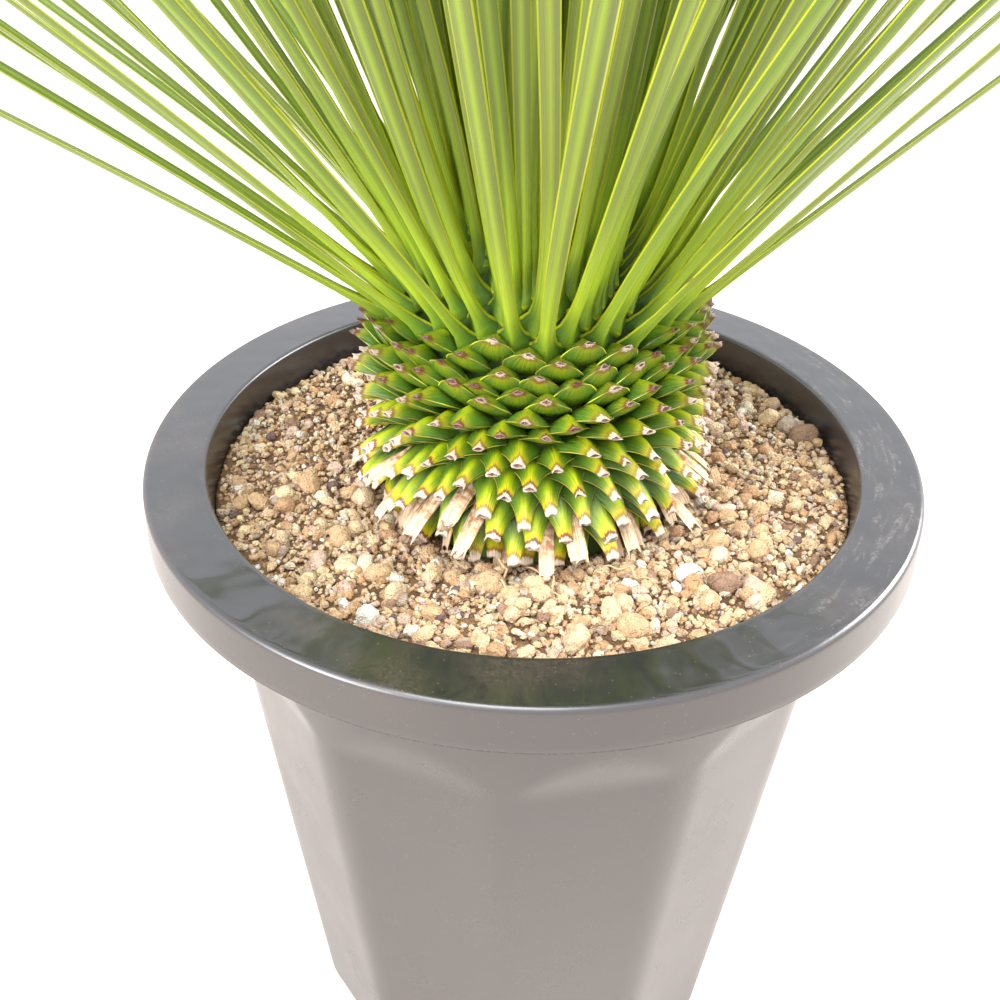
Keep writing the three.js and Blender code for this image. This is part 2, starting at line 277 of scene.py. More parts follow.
class LeafLook(bpy.types.PropertyGroup):
    """The live leaves."""

    base_width: length_property("Base width", "Width of a leaf where it clasps the heart", 0.0165)
    neck_width: length_property("Neck width", "Width at the narrow neck above the base", 0.0052)
    blade_width: length_property("Blade width", "Width at the widest of the blade", 0.0063)
    outer: colour_property("Outer face", "Colour of the face that looks out and down", (0.192, 0.242, 0.052))
    inner: colour_property("Inner face", "Colour of the face that looks in and up", (0.17, 0.27, 0.010))
    # Base also gives the painted light on the inner leaves and the painted highlight down each blade's
    # middle.
    base: colour_property("Base", "Colour near the base", (0.375, 0.525, 0.021))
    # The foot colour is the foot's own dark green, deepened as painted shade at its sides and between the
    # feet.
    foot: colour_property("Foot", "Colour of the round foot of a leaf", (0.052, 0.13, 0.014))
    margin: colour_property("Margin", "Colour of the thin edges", (0.43, 0.47, 0.014))
    # Core is painted shade: the heart between the leaves is nearly black, and the inner leaves' bases darken
    # towards it.
    core: colour_property("Core", "Colour of the heart between the leaves", (0.025, 0.055, 0.006))


class StageLook(bpy.types.PropertyGroup):
    """Floor, lights and camera."""

    floor: colour_property("Floor", "Colour of the floor", (0.675, 0.615, 0.565))
    surround: colour_property("Surround", "Colour of the surround", (0.93, 0.95, 1.0))
    sky: FloatProperty(name="Surround strength", description="Strength of the surround", default=1.95,
                       min=0.0)
    key: FloatProperty(name="Key", description="Power that each light takes its share of", default=44.0,
                       min=0.0, unit="POWER")
    distance: length_property("Distance", "From the camera to the point it looks at", 0.544)
    elevation: angle_property("Elevation", "How far the camera looks down", 35.04)
    roll: angle_property("Roll", "How far the camera leans over", 0.88)
    lens: FloatProperty(name="Lens", description="Focal length in millimetres", default=44.39, min=1.0)


# ---------------------------------------------------------------- meshes from arrays


def linked(name, data):
    """A new object of the scene, which holds the data."""
    thing = bpy.data.objects.new(name, data)
    bpy.context.collection.objects.link(thing)
    return thing


def mesh_object(name, points, polygons, attributes=None, smooth=True):
    """A mesh of points (n, 3) and a list of polygon arrays (m, corners), with numbers kept per point."""
    mesh = bpy.data.meshes.new(name)
    corners = np.concatenate([array.ravel() for array in polygons])
    sizes = np.concatenate([np.full(len(array), array.shape[1]) for array in polygons])
    mesh.vertices.add(len(points))
    mesh.vertices.foreach_set("co", np.ascontiguousarray(points, np.float32).ravel())
    mesh.loops.add(len(corners))
    mesh.loops.foreach_set("vertex_index", corners.astype(np.int32))
    mesh.polygons.add(len(sizes))
    mesh.polygons.foreach_set("loop_start", (np.cumsum(sizes) - sizes).astype(np.int32))
    mesh.polygons.foreach_set("use_smooth", np.full(len(sizes), smooth))
    mesh.update(calc_edges=True)
    for key, values in (attributes or {}).items():
        layer = mesh.attributes.new(key, "FLOAT", "POINT")
        layer.data.foreach_set("value", np.ascontiguousarray(values, np.float32).ravel())
    return linked(name, mesh)


def tube_polygons(copies, rows, columns):
    """Polygons of closed tubes. A tube's points are its rows of columns, then a pole at each end."""
    row = np.arange(rows - 1)[:, None] * columns
    here = np.arange(columns)[None, :]
    after = (here + 1) % columns
    quads = [row + here, row + after, row + columns + after, row + columns + here]
    last = (rows - 1) * columns
    first_pole = np.full(columns, rows * columns)
    low = np.stack([after[0], here[0], first_pole], -1)
    high = np.stack([last + here[0], last + after[0], first_pole + 1], -1)
    offset = (np.arange(copies) * (rows * columns + 2))[:, None, None]
    shapes = (np.stack(quads, -1).reshape(-1, 4), low, high)
    return [(array[None] + offset).reshape(-1, array.shape[1]) for array in shapes]


def with_poles(grid):
    """Points or numbers (copies, rows, columns, ...) of tubes, in one row a tube, then the means of its end
    rows for its poles."""
    flat = grid.reshape(len(grid), -1, *grid.shape[3:])
    return np.concatenate([flat, grid[:, [0, -1]].mean(axis=2)], axis=1)


def tubes(name, grid, **values):
    """A mesh object of tubes from their grid (copies, rows, columns, 3), with its attributes."""
    shape = grid.shape[:3]
    attributes = {key: with_poles(np.broadcast_to(value, shape)) for key, value in values.items()}
    return mesh_object(name, with_poles(grid).reshape(-1, 3), tube_polygons(*shape), attributes)


def joined(name, parts):
    """One object made of several, which are removed; their attributes are kept."""
    bpy.ops.object.select_all(action="DESELECT")
    for part in parts:
        part.select_set(True)
    bpy.context.view_layer.objects.active = parts[0]
    bpy.ops.object.join()
    parts[0].name = parts[0].data.name = name
    return parts[0]


def full_turn(columns):
    """Angles that share a full turn evenly."""
    return np.arange(columns) * 2 * np.pi / columns


def turned_grid(radius, height, columns):
    """Points round the Z axis: radius is (rows, columns) or (rows, 1), height is (rows,)."""
    turn = full_turn(columns)
    radius = np.broadcast_to(radius, (len(height), columns))
    rise = np.broadcast_to(np.asarray(height)[:, None], radius.shape)
    return np.stack([radius * np.cos(turn), radius * np.sin(turn), rise], -1)


def arc(start, end, steps):
    """Cosines and sines of evenly spaced angles, in degrees."""
    angle = np.radians(np.linspace(start, end, steps))
    return np.cos(angle), np.sin(angle)


def unit(vectors):
    """The vectors divided by their lengths."""
    return vectors / np.linalg.norm(vectors, axis=-1, keepdims=True)


def soft_minimum(a, b, width):
    """The lower of two surfaces, rounded over where they come within width of each other."""
    near = np.maximum(width - np.abs(a - b), 0) / width
    return np.minimum(a, b) - near * near * width / 4


def smoothstep(value, low, high):
    """0 up to low and 1 from high on. Between them, three times the square of the way less twice its cube."""
    share = np.clip((value - low) / (high - low), 0, 1)
    return share * share * (3 - 2 * share)


def lerp(a, b, share):
    return a + (b - a) * share


def drawn_numbers(seed):
    """An endless run of repeatable numbers from 0 to 1: each state is a fixed multiple of the last, plus a
    fixed number."""
    state = seed
    while True:
        state = (state * 1664525 + 1013904223) % 2**32
        yield state / 2**32


# ---------------------------------------------------------------- shader building


class Nodes:
    """Adds shader nodes to a tree. Their inputs are numbers, colours and outputs of other nodes."""

    def __init__(self, tree):
        self.tree = tree

    def feed(self, socket, value):
        """Joins another node's output to an input, or sets the input to a value."""
        if isinstance(value, bpy.types.NodeSocket):
            self.tree.links.new(value, socket)
        else:
            socket.default_value = value

    def add(self, kind, inputs=None, **settings):
        """Adds one node and returns its outputs."""
        node = self.tree.nodes.new("ShaderNode" + kind)
        for key, value in settings.items():
            setattr(node, key, value)
        for key, value in (inputs or {}).items():
            self.feed(node.inputs[key], value)
        return node.outputs

    def group(self, name, *inputs):
        """Adds a shared group, with its inputs in order, and returns its outputs."""
        return self.add("Group", dict(enumerate(inputs)), node_tree=shared_group(name))

    def attributes(self, *names):
        return [self.add("Attribute", attribute_name=name)["Fac"] for name in names]

    def point(self):
        return self.add("TexCoord")["Object"]

    def calculate(self, operation, value, *others):
        """Works one value after another into the first."""
        for other in others:
            value = self.add("Math", {0: value, 1: other}, operation=operation)[0]
        return value

    def times(self, *factors):
        return self.calculate("MULTIPLY", *factors)

    def plus(self, *terms):
        return self.calculate("ADD", *terms)

    def highest(self, *values):
        return self.calculate("MAXIMUM", *values)

    def absolute(self, value):
        return self.add("Math", {0: value}, operation="ABSOLUTE")[0]

    def distance(self, x, y):
        """How far x, y is from nought."""
        vector = self.add("CombineXYZ", {0: x, 1: y})[0]
        return self.add("VectorMath", {0: vector}, operation="LENGTH")["Value"]

    def fit(self, value, low, high, to_low=0.0, to_high=1.0):
        """Maps low..high to to_low..to_high, and holds the ends."""
        return self.add("MapRange", {0: value, 1: low, 2: high, 3: to_low, 4: to_high})[0]

    def span(self, value, low, high):
        """Maps 0..1 to low..high."""
        return self.fit(value, 0.0, 1.0, low, high)

    def noise(self, point, scale, detail, **others):
        return self.add("TexNoise", {"Vector": point, "Scale": scale, "Detail": detail, **others})["Fac"]

    def mix(self, share, a, b, mode="MIX"):
        a, b = (c if isinstance(c, bpy.types.NodeSocket) else (*c, 1.0) for c in (a, b))
        return self.add("Mix", {0: share, 6: a, 7: b}, data_type="RGBA", blend_type=mode)[2]

    def layers(self, colour, *layers):
        """Lays more colours over the first, each given as its share and colour."""
        for share, over in layers:
            colour = self.mix(share, colour, over)
        return colour

    def shaded(self, colour, shade):
        """A colour multiplied by a number."""
        grey = self.add("CombineColor", {0: shade, 1: shade, 2: shade})[0]
        return self.mix(1.0, colour, grey, "MULTIPLY")

    def ramp(self, value, stops, interpolation="LINEAR"):
        """The colour at a value, between stops that are each a position and a colour."""
        node = self.tree.nodes.new("ShaderNodeValToRGB")
        self.feed(node.inputs[0], value)
        node.color_ramp.interpolation = interpolation
        elements = node.color_ramp.elements
        while len(elements) < len(stops):
            elements.new(0.5)
        for element, (position, colour) in zip(elements, stops):
            element.position = position
            element.color = (*colour, 1.0)
        return node.outputs[0]


class Material(Nodes):
    """A new material's nodes. Its Principled shader has the given constants set on its own sockets."""

    def __init__(self, name, **constants):
        self.made = bpy.data.materials.new(name)
        self.made.use_nodes = True
        super().__init__(self.made.node_tree)
        self.shader = self.tree.nodes["Principled BSDF"].inputs
        for key, value in constants.items():
            self.shader[key.replace("_", " ")].default_value = value

    def finish(self, colour, roughness=None, height=None, depth=0.0, strength=1.0):
        """Joins a colour, a roughness and a surface that a height in 0..1 raises by depth metres."""
        self.feed(self.shader["Base Color"], colour)
        if roughness is not None:
            self.feed(self.shader["Roughness"], roughness)
        if height is not None:
            bump = self.add("Bump", {"Height": height, "Distance": depth, "Strength": strength})
            self.feed(self.shader["Normal"], bump["Normal"])
        return self.made


def mottle(nodes, point, patch_scale, grain_scale):
    """Cloudy patches and fine grain over a surface, from noise at two sizes."""
    patches = nodes.noise(point, patch_scale, 4.0, Roughness=0.6)
    grain = nodes.noise(point, grain_scale, 2.0)
    return nodes.fit(patches, 0.35, 0.65), nodes.fit(grain, 0.3, 0.7)


def specks(nodes, point, scale, size, amount):
    """Sparse round specks: cells of a Voronoi pattern whose centre is near, kept where their own colour has
    little red."""
    cells = nodes.add("TexVoronoi", {"Vector": point, "Scale": scale, "Randomness": 1.0})
    near = nodes.calculate("LESS_THAN", cells["Distance"], size)
    red = nodes.add("SeparateColor", {0: cells["Color"]})[0]
    return [nodes.times(near, nodes.calculate("LESS_THAN", red, amount))]


def fibres(nodes, across, along, seed, lines, stretch):
    """Fine lines along a leaf and slower blotches: noise stretched lengthways, from its across and along."""
    side, length = nodes.times(across, lines), nodes.times(along, stretch)
    apart = nodes.times(seed, 97.0)
    fine = nodes.add("CombineXYZ", {0: side, 1: length, 2: apart})[0]
    slow = nodes.add("CombineXYZ", {0: across, 1: nodes.times(length, 4.0), 2: apart})[0]
    return nodes.fit(nodes.noise(fine, 1.0, 3.0), 0.3, 0.7), nodes.noise(slow, 1.6, 3.0)


# What builds each shared group, its inputs with their defaults, and its outputs. A vector has no default.
GROUPS = {
    "Mottle": (mottle, {"Point": None, "Patch Scale": 30.0, "Grain Scale": 600.0}, ["Patches", "Grain"]),
    "Specks": (specks, {"Point": None, "Scale": 400.0, "Size": 0.25, "Amount": 0.5}, ["Specks"]),
    "Fibres": (fibres, {"Across": 0.0, "Along": 0.0, "Seed": 0.0, "Lines": 9.0, "Stretch": 3.0},
               ["Lines", "Blotches"]),
}


def shared_group(name):
    """The shader group of this name, which is built the first time."""
    if name in bpy.data.node_groups:
        return bpy.data.node_groups[name]
    build, inputs, outputs = GROUPS[name]
    group = bpy.data.node_groups.new(name, "ShaderNodeTree")
    for key, default in inputs.items():
        kind = "NodeSocketVector" if default is None else "NodeSocketFloat"
        socket = group.interface.new_socket(key, in_out="INPUT", socket_type=kind)
        if default is not None:
            socket.default_value = default
    for key in outputs:
        group.interface.new_socket(key, in_out="OUTPUT", socket_type="NodeSocketFloat")
    given = group.nodes.new("NodeGroupInput").outputs
    put = group.nodes.new("NodeGroupOutput").inputs
    nodes = Nodes(group)
    for key, value in zip(outputs, build(nodes, *(given[key] for key in inputs))):
        nodes.feed(put[key], value)
    return group


# ---------------------------------------------------------------- pot


def cone_radius(height):
    return BODY_TOP_RADIUS - BODY_TAPER * (POT_HEIGHT - height)


def wall_radius(turn, height, edge):
    """Outside radius of the pot's body: the lower of a cone and of the nearest panel's flat face, whose
    distance from the axis falls steeply over the shoulder and then gently to the foot."""
    slope = (cone_radius(SHOULDER_TOP) - PANEL_TOP_DISTANCE) / (SHOULDER_TOP - SHOULDER_FOOT)
    shoulder = PANEL_TOP_DISTANCE + slope * (height - SHOULDER_FOOT)
    face = PANEL_FOOT_DISTANCE + (PANEL_TOP_DISTANCE - PANEL_FOOT_DISTANCE) * height / SHOULDER_FOOT
    distance = -soft_minimum(-shoulder, -face, edge)
    offset = (turn - PANEL_TURN + PANEL_PITCH / 2) % PANEL_PITCH - PANEL_PITCH / 2
    return soft_minimum(cone_radius(height), distance / np.cos(offset), edge)


def section_rows(height, radius=0.0, share=0.0, inset=0.0):
    """Rows of the pot's section. Each has a height, and either a fixed radius or a share and an inset of the
    body's wall."""
    return np.stack(np.broadcast_arrays(height, radius, share, inset), -1).reshape(-1, 4)


def pot_rows():
    """The pot's section, as rows that run from the middle of the underside, up the outside, over the rim and
    down the inside."""
    lip_inner, lip_outer = RIM_RADIUS - LIP_WALL, RIM_RADIUS + LIP_FLARE
    lip_middle = POT_HEIGHT - LIP_DEPTH + LIP_ROUND
    plate_foot, edge_foot = POT_HEIGHT - RIM_PLATE, POT_HEIGHT - RIM_EDGE_ROUND
    lip_side = np.linspace(lip_middle + 0.003, edge_foot - 0.0015, 4)
    drawn_in = lerp(lip_outer, RIM_RADIUS, (lip_side - lip_middle) / (edge_foot - lip_middle))
    mouth = BODY_TOP_RADIUS - WALL + MOUTH_ROUND
    foot_out, foot_up = arc(-90, 0, 5)
    lip_out, lip_up = arc(180, 360, 7)
    edge_out, edge_up = arc(0, 90, 9)
    mouth_out, mouth_up = arc(90, 180, 5)
    return np.concatenate([
        section_rows(0.0, share=[0.08, 0.35, 0.62, 0.85, 0.96]),
        section_rows(FOOT_ROUND * (1 + foot_up), share=1.0, inset=FOOT_ROUND * (1 - foot_out)),
        section_rows(np.linspace(0.006, SHOULDER_FOOT - 0.01, 22), share=1.0),
        section_rows(np.linspace(SHOULDER_FOOT - 0.008, SHOULDER_TOP + 0.004, 22), share=1.0),
        section_rows(np.linspace(SHOULDER_TOP + 0.008, plate_foot, 6), share=1.0),
        section_rows(plate_foot, np.linspace(BODY_TOP_RADIUS + 0.002, lip_inner, 4)),
        section_rows(np.linspace(plate_foot - 0.001, lip_middle, 3), lip_inner),
        section_rows(lip_middle + LIP_ROUND * lip_up[1:4], lip_inner + LIP_ROUND * (1 + lip_out[1:4])),
        section_rows(lip_middle + LIP_ROUND * lip_up[3:], lip_outer - LIP_ROUND * (1 - lip_out[3:])),
        section_rows(lip_side, drawn_in),
        section_rows(edge_foot + RIM_EDGE_ROUND * edge_up, RIM_RADIUS - RIM_EDGE_ROUND * (1 - edge_out)),
        section_rows(POT_HEIGHT, np.linspace(RIM_RADIUS - RIM_EDGE_ROUND - 0.001, mouth + 0.001, 5)),
        section_rows(POT_HEIGHT - MOUTH_ROUND * (1 - mouth_up), mouth + MOUTH_ROUND * mouth_out),
        section_rows(np.linspace(POT_HEIGHT - 0.004, SHOULDER_TOP, 8), share=1.0, inset=WALL),
        section_rows(np.linspace(SHOULDER_FOOT, FLOOR + 0.002, 5), share=1.0, inset=WALL),
        section_rows(FLOOR, share=[0.985, 0.85, 0.62, 0.35, 0.08], inset=WALL),
    ])


def pot_grid(edge):
    """The section's rows, turned round the axis."""
    height, fixed, share, inset = pot_rows().T[:, :, None]
    wall = share * (wall_radius(full_turn(POT_COLUMNS), height, edge) - inset)
    return turned_grid(np.where(share > 0, wall, fixed), height[:, 0], POT_COLUMNS)


def cut_drain_holes(pot):
    """Takes a ring of round holes out of the pot's floor."""
    mesh = bmesh.new()
    for turn in full_turn(DRAIN_COUNT):
        middle = Vector((DRAIN_CIRCLE * math.cos(turn), DRAIN_CIRCLE * math.sin(turn), FLOOR))
        bmesh.ops.create_cone(mesh, cap_ends=True, segments=DRAIN_SEGMENTS, radius1=DRAIN_RADIUS,
                              radius2=DRAIN_RADIUS, depth=4 * FLOOR, matrix=Matrix.Translation(middle))
    data = bpy.data.meshes.new("drain_cutters")
    mesh.to_mesh(data)
    mesh.free()
    modifier = pot.modifiers.new("drain holes", "BOOLEAN")
    modifier.operation = "DIFFERENCE"
    modifier.solver = "MANIFOLD"
    modifier.object = linked("drain_cutters", data)
    bpy.context.view_layer.objects.active = pot
    bpy.ops.object.modifier_apply(modifier=modifier.name)
    bpy.data.objects.remove(bpy.data.objects["drain_cutters"])
    pot.data.materials.clear()


def plastic_material(look):
    """Black moulded plastic: a thin film of dust on the body's outside, a little of it settled on the rim,
    pale specks, scuffs along the rim that are strongest on its right side, where they are also a painted
    reflection, soft waves and a painted shadow along the lip's lower edge."""
    m = Material("pot plastic", Specular_IOR_Level=1.0)
    point = m.point()
    x, y, height = m.add("SeparateXYZ", {0: point})
    normal = m.add("NewGeometry")["Normal"]
    patches, grain = m.group("Mottle", point, 26.0, 900.0)
    speck = m.group("Specks", point, 700.0, 0.15, 0.10)[0]
    level = m.fit(m.add("SeparateXYZ", {0: normal})[2], 0.5, 0.98)
    upright = m.calculate("SUBTRACT", 1.0, level)
    outwards = m.add("VectorMath", {0: normal, 1: point}, operation="DOT_PRODUCT")["Value"]
    film = m.times(m.span(patches, 0.85, 1.1), look.film, m.fit(outwards, 0.0, 0.04), upright)
    settled = m.times(m.fit(patches, 0.5, 1.0), grain, level, 0.06)
    dusty = m.highest(m.plus(film, settled), m.times(speck, 0.22))
    turn = m.times(m.calculate("ARCTAN2", y, x), 7.0)
    rings = m.times(m.distance(x, y), 230.0)
    streaks = m.noise(m.add("CombineXYZ", {0: turn, 1: rings})[0], 1.0, 6.0, Roughness=0.62, Distortion=1.2)
    # Pale scuffs on the rim's level faces, faint on the left and full on the right: real scuffs, and also a
    # painted reflection that lightens the right side.
    scuffs_and_sheen = m.times(m.fit(streaks, 0.52, 0.72), grain, m.fit(x, 0.04, 0.14, 0.06, 1.0), level, 0.26)
    # Painted shadow: a dark band along the lip's lower edge, broken up by noise, and rougher there.
    from_seam = m.absolute(m.calculate("SUBTRACT", height, POT_HEIGHT - LIP_DEPTH))
    painted_shadow_mask = m.times(m.fit(from_seam, 0.0014, 0.0007), m.fit(grain, 0.2, 0.7, 0.55, 1.0))
    colour = m.layers(look.plastic, (dusty, look.dust), (scuffs_and_sheen, look.scuff_and_sheen), (painted_shadow_mask, look.painted_shadow))
    rough = m.plus(m.span(patches, look.roughness, look.roughness + 0.05), m.span(level, 0.15, 0.0),
                   m.times(level, upright, 0.6))
    waves = m.times(m.noise(point, 48.0, 1.0), m.span(level, 0.08, 1.0))
    return m.finish(colour, m.highest(rough, painted_shadow_mask), waves, 0.0011, 0.5)


def make_pot(look):
    pot = tubes("pot_shell", pot_grid(look.panel_edge)[None])
    cut_drain_holes(pot)
    pot.data.materials.append(plastic_material(look))
    return pot


# ---------------------------------------------------------------- soil


def soil_surface(x, y, unevenness):
    """Height of the soil: its level, less a dip round the trunk, plus low swells. The swells are twice the
    mean of a few plane waves in random directions."""
    rng = np.random.default_rng(SWELL_SEED)
    heading = rng.uniform(0, 2 * np.pi, SWELL_COUNT)
    wavelength = rng.uniform(*SWELL_LENGTHS, SWELL_COUNT)
    phase = rng.uniform(0, 2 * np.pi, SWELL_COUNT)
    along = x[..., None] * np.cos(heading) + y[..., None] * np.sin(heading)
    swells = unevenness * np.sin(2 * np.pi * along / wavelength + phase).mean(-1) * 2
    dip = 1 - smoothstep(np.hypot(x, y), CORE_RADIUS, SOIL_DIP_RADIUS)
    return SOIL_LEVEL - SOIL_DIP * dip + swells


def soil_bed_grid(unevenness):
    """The soil's bulk: underside, side along the pot's wall, top, and the hole that the trunk stands in."""
    turn = full_turn(SOIL_COLUMNS)
    inset, foot, hole = WALL + GAP, FLOOR + GAP, CORE_RADIUS + GAP
    height = np.concatenate([np.full(3, foot), np.linspace(foot + 0.002, SOIL_LEVEL - 0.003, 14)])
    share = np.concatenate([[0.1, 0.5, 0.97], np.ones(14)])[:, None]
    outer = turned_grid(share * (wall_radius(turn, height[:, None], SOIL_EDGE) - inset), height, SOIL_COLUMNS)
    rim = wall_radius(turn, SOIL_LEVEL, SOIL_EDGE) - inset
    across = np.linspace(1, 0, SOIL_RINGS)[:, None]
    top = turned_grid(hole + (rim - hole) * across, np.zeros(len(across)), SOIL_COLUMNS)
    top[..., 2] = soil_surface(top[..., 0], top[..., 1], unevenness)
    shaft = turned_grid(np.array([[hole], [hole], [CORE_FOOT_RADIUS + GAP], [POLE_RADIUS]]),
                        [SOIL_LEVEL - 0.008, CORE_WAIST, CORE_FOOT - GAP, CORE_FOOT - GAP], SOIL_COLUMNS)
    return np.concatenate([outer, top, shaft])


def random_turns(count, rng):
    """Rotation matrices (count, 3, 3) from random unit quaternions."""
    quaternion = rng.normal(size=(4, count))
    w, x, y, z = quaternion / np.linalg.norm(quaternion, axis=0)
    return np.stack([
        np.stack([1 - 2 * (y * y + z * z), 2 * (x * y - z * w), 2 * (x * z + y * w)], -1),
        np.stack([2 * (x * y + z * w), 1 - 2 * (x * x + z * z), 2 * (y * z - x * w)], -1),
        np.stack([2 * (x * z - y * w), 2 * (y * z + x * w), 1 - 2 * (x * x + y * y)], -1),
    ], -2)


def ball(subdivisions):
    """Points and triangles of a unit ball of near equal triangles."""
    mesh = bmesh.new()
    bmesh.ops.create_icosphere(mesh, subdivisions=subdivisions, radius=1.0)
    points = np.array([v.co for v in mesh.verts])
    triangles = np.array([[v.index for v in f.verts] for f in mesh.faces])
    mesh.free()
    return points, triangles


def block_ball():
    """Points and squares of a unit ball made of a cube's faces, each cut in four. Of the cube's 27 points,
    the one in its middle is left out."""
    level = np.array([-1.0, 0.0, 1.0])
    points = np.stack(np.meshgrid(level, level, level, indexing="ij"), -1).reshape(-1, 3)
    number = np.arange(27).reshape(3, 3, 3)
    squares = []
    for axis in range(3):
        for end in (0, 2):
            side = np.take(number, end, axis=axis)
            square = np.stack([side[:-1, :-1], side[1:, :-1], side[1:, 1:], side[:-1, 1:]], -1).reshape(-1, 4)
            outwards = (end == 2) == (axis != 1)
            squares.append(square if outwards else square[:, ::-1])
    squares = np.concatenate(squares)
    squares[squares > 13] -= 1
    return unit(np.delete(points, 13, axis=0)), squares


def lumps(points, count, height, rng):
    """How far each of a ball's points stands out on each of count stones: the mean of a few waves over
    the ball, in random directions, plus a finer roughness."""
    heading = unit(rng.normal(size=(count, LUMP_COUNT, 3))) * rng.uniform(1.2, 3.4, (count, LUMP_COUNT, 1))
    phase = rng.uniform(0, 2 * np.pi, (count, LUMP_COUNT))
    waves = np.sin(np.einsum("nkj,pj->npk", heading, points) + phase[:, None]).mean(-1)
    return 1 + height * (2.4 * waves + 0.33 * rng.normal(size=waves.shape).clip(-2, 2))


def chipped(points, count, rng):
    """How far flat chips let each of a ball's points stand out on each of count stones: the nearest of a few
    planes with random headings and distances, or the whole radius."""
    heading = unit(rng.normal(size=(count, CHIP_COUNT, 3)))
    reach = rng.uniform(*CHIP_REACH, (count, CHIP_COUNT))
    ahead = np.einsum("nkj,pj->npk", heading, points)
    limit = np.where(ahead > CHIP_SLANT, reach[:, None] / np.maximum(ahead, CHIP_SLANT), 2.0)
    return np.minimum(limit.min(-1), 1.0) * 1.1


def strewn(count, sizes, skew, coarse_side, rng):
    """Turn, distance from the axis and size of stones strewn evenly over the soil. Sizes run from small to
    large with the given skew. They are larger, and where asked more numerous, on one side."""
    turn = rng.uniform(0, 2 * np.pi, count)
    coarse = 0.5 + 0.5 * np.cos(turn - COARSE_TURN)
    keep = rng.uniform(size=count) < lerp(1.0, coarse, coarse_side)
    turn, coarse = turn[keep], coarse[keep]
    size = lerp(*sizes, rng.uniform(size=len(turn)) ** (skew - 0.8 * coarse))
    inner = CORE_RADIUS + STONE_MARGIN + size
    outer = SOIL_RADIUS - 0.9 * size
    radius = np.sqrt(lerp(inner ** 2, outer ** 2, rng.uniform(size=len(turn))))
    return turn, radius, size


def stones(name, shape, turn, radius, size, tint, roughness, lift, unevenness, rng, smooth=False):
    """Stones on the soil. Each is a ball with flat chips, its points moved in and out by lumps, stretched,
    turned and set into the soil by its lift."""
    points, faces = shape
    count = len(turn)
    x, y = radius * np.cos(turn), radius * np.sin(turn)
    height = soil_surface(x, y, unevenness) + size * rng.uniform(*lift, count)
    stretch = rng.uniform(*STONE_STRETCH, (count, 1, 3))
    rough = lumps(points, count, roughness, rng) * chipped(points, count, rng)
    form = np.einsum("nij,npj->npi", random_turns(count, rng), points * rough[..., None] * stretch)
    form *= size[:, None, None]
    form[..., 2] *= STONE_FLATTENING
    form += np.stack([x, y, height], -1)[:, None]
    offset = (np.arange(count) * len(points))[:, None, None]
    return mesh_object(name, form.reshape(-1, 3), [(faces + offset).reshape(-1, faces.shape[1])],
                       {"tint": np.repeat(tint, len(points))}, smooth)


# Each stone takes one of these by its own number: tan and ochre clay, cream, white pumice, brown and slate.
STONE_COLOURS = [
    (0.00, (0.66, 0.44, 0.25)),
    (0.16, (0.76, 0.57, 0.36)),
    (0.30, (0.56, 0.34, 0.185)),
    (0.38, (0.78, 0.56, 0.33)),
    (0.50, (0.70, 0.50, 0.38)),
    (0.58, (0.80, 0.64, 0.38)),
    (0.66, (0.52, 0.40, 0.31)),
    (0.71, (0.81, 0.69, 0.50)),
    (0.79, (0.86, 0.80, 0.70)),
    (0.84, (0.64, 0.38, 0.20)),
    (0.91, (0.36, 0.225, 0.15)),
    (0.975, (0.20, 0.13, 0.125)),
]


def stone_material():
    """Dull stones: one colour each, with paler and darker patches, dark specks of painted shade in pits and a
    crumbly surface.
    """
    m = Material("gravel", Specular_IOR_Level=0.2)
    point = m.point()
    patches, grain = m.group("Mottle", point, 380.0, 1500.0)
    # Dark specks: painted shade in the stones' pits.
    pit_shade = m.group("Specks", point, 900.0, 0.32, 0.22)[0]
    own = m.ramp(*m.attributes("tint"), STONE_COLOURS, "CONSTANT")
    shade = m.times(m.span(patches, 0.78, 1.16), m.span(grain, 0.84, 1.12), m.span(pit_shade, 1.0, 0.6))
    crumbs = m.plus(grain, m.times(patches, 0.8))
    return m.finish(m.shaded(own, shade), m.span(grain, 0.8, 0.98), crumbs, 0.0007)


def bed_material(look):
    """The fines between the stones: dark crumbs with pale bits, deeply pitted. Their darkness is partly
    painted shade in the gaps between the stones.
    """
    m = Material("soil fines", Specular_IOR_Level=0.2)
    point = m.point()
    patches, grain = m.group("Mottle", point, 160.0, 1100.0)
    crumbs = m.group("Specks", point, 520.0, 0.42, 0.3)[0]
    colour = m.layers(look.bed * 0.55, (patches, look.bed), (crumbs, look.bed * 2.1))
    return m.finish(colour, m.span(grain, 0.85, 1.0), grain, 0.0012)


def make_soil_bed(look):
    bed = tubes("soil_bed", soil_bed_grid(look.unevenness)[None])
    bed.data.materials.append(bed_material(look))
    return bed


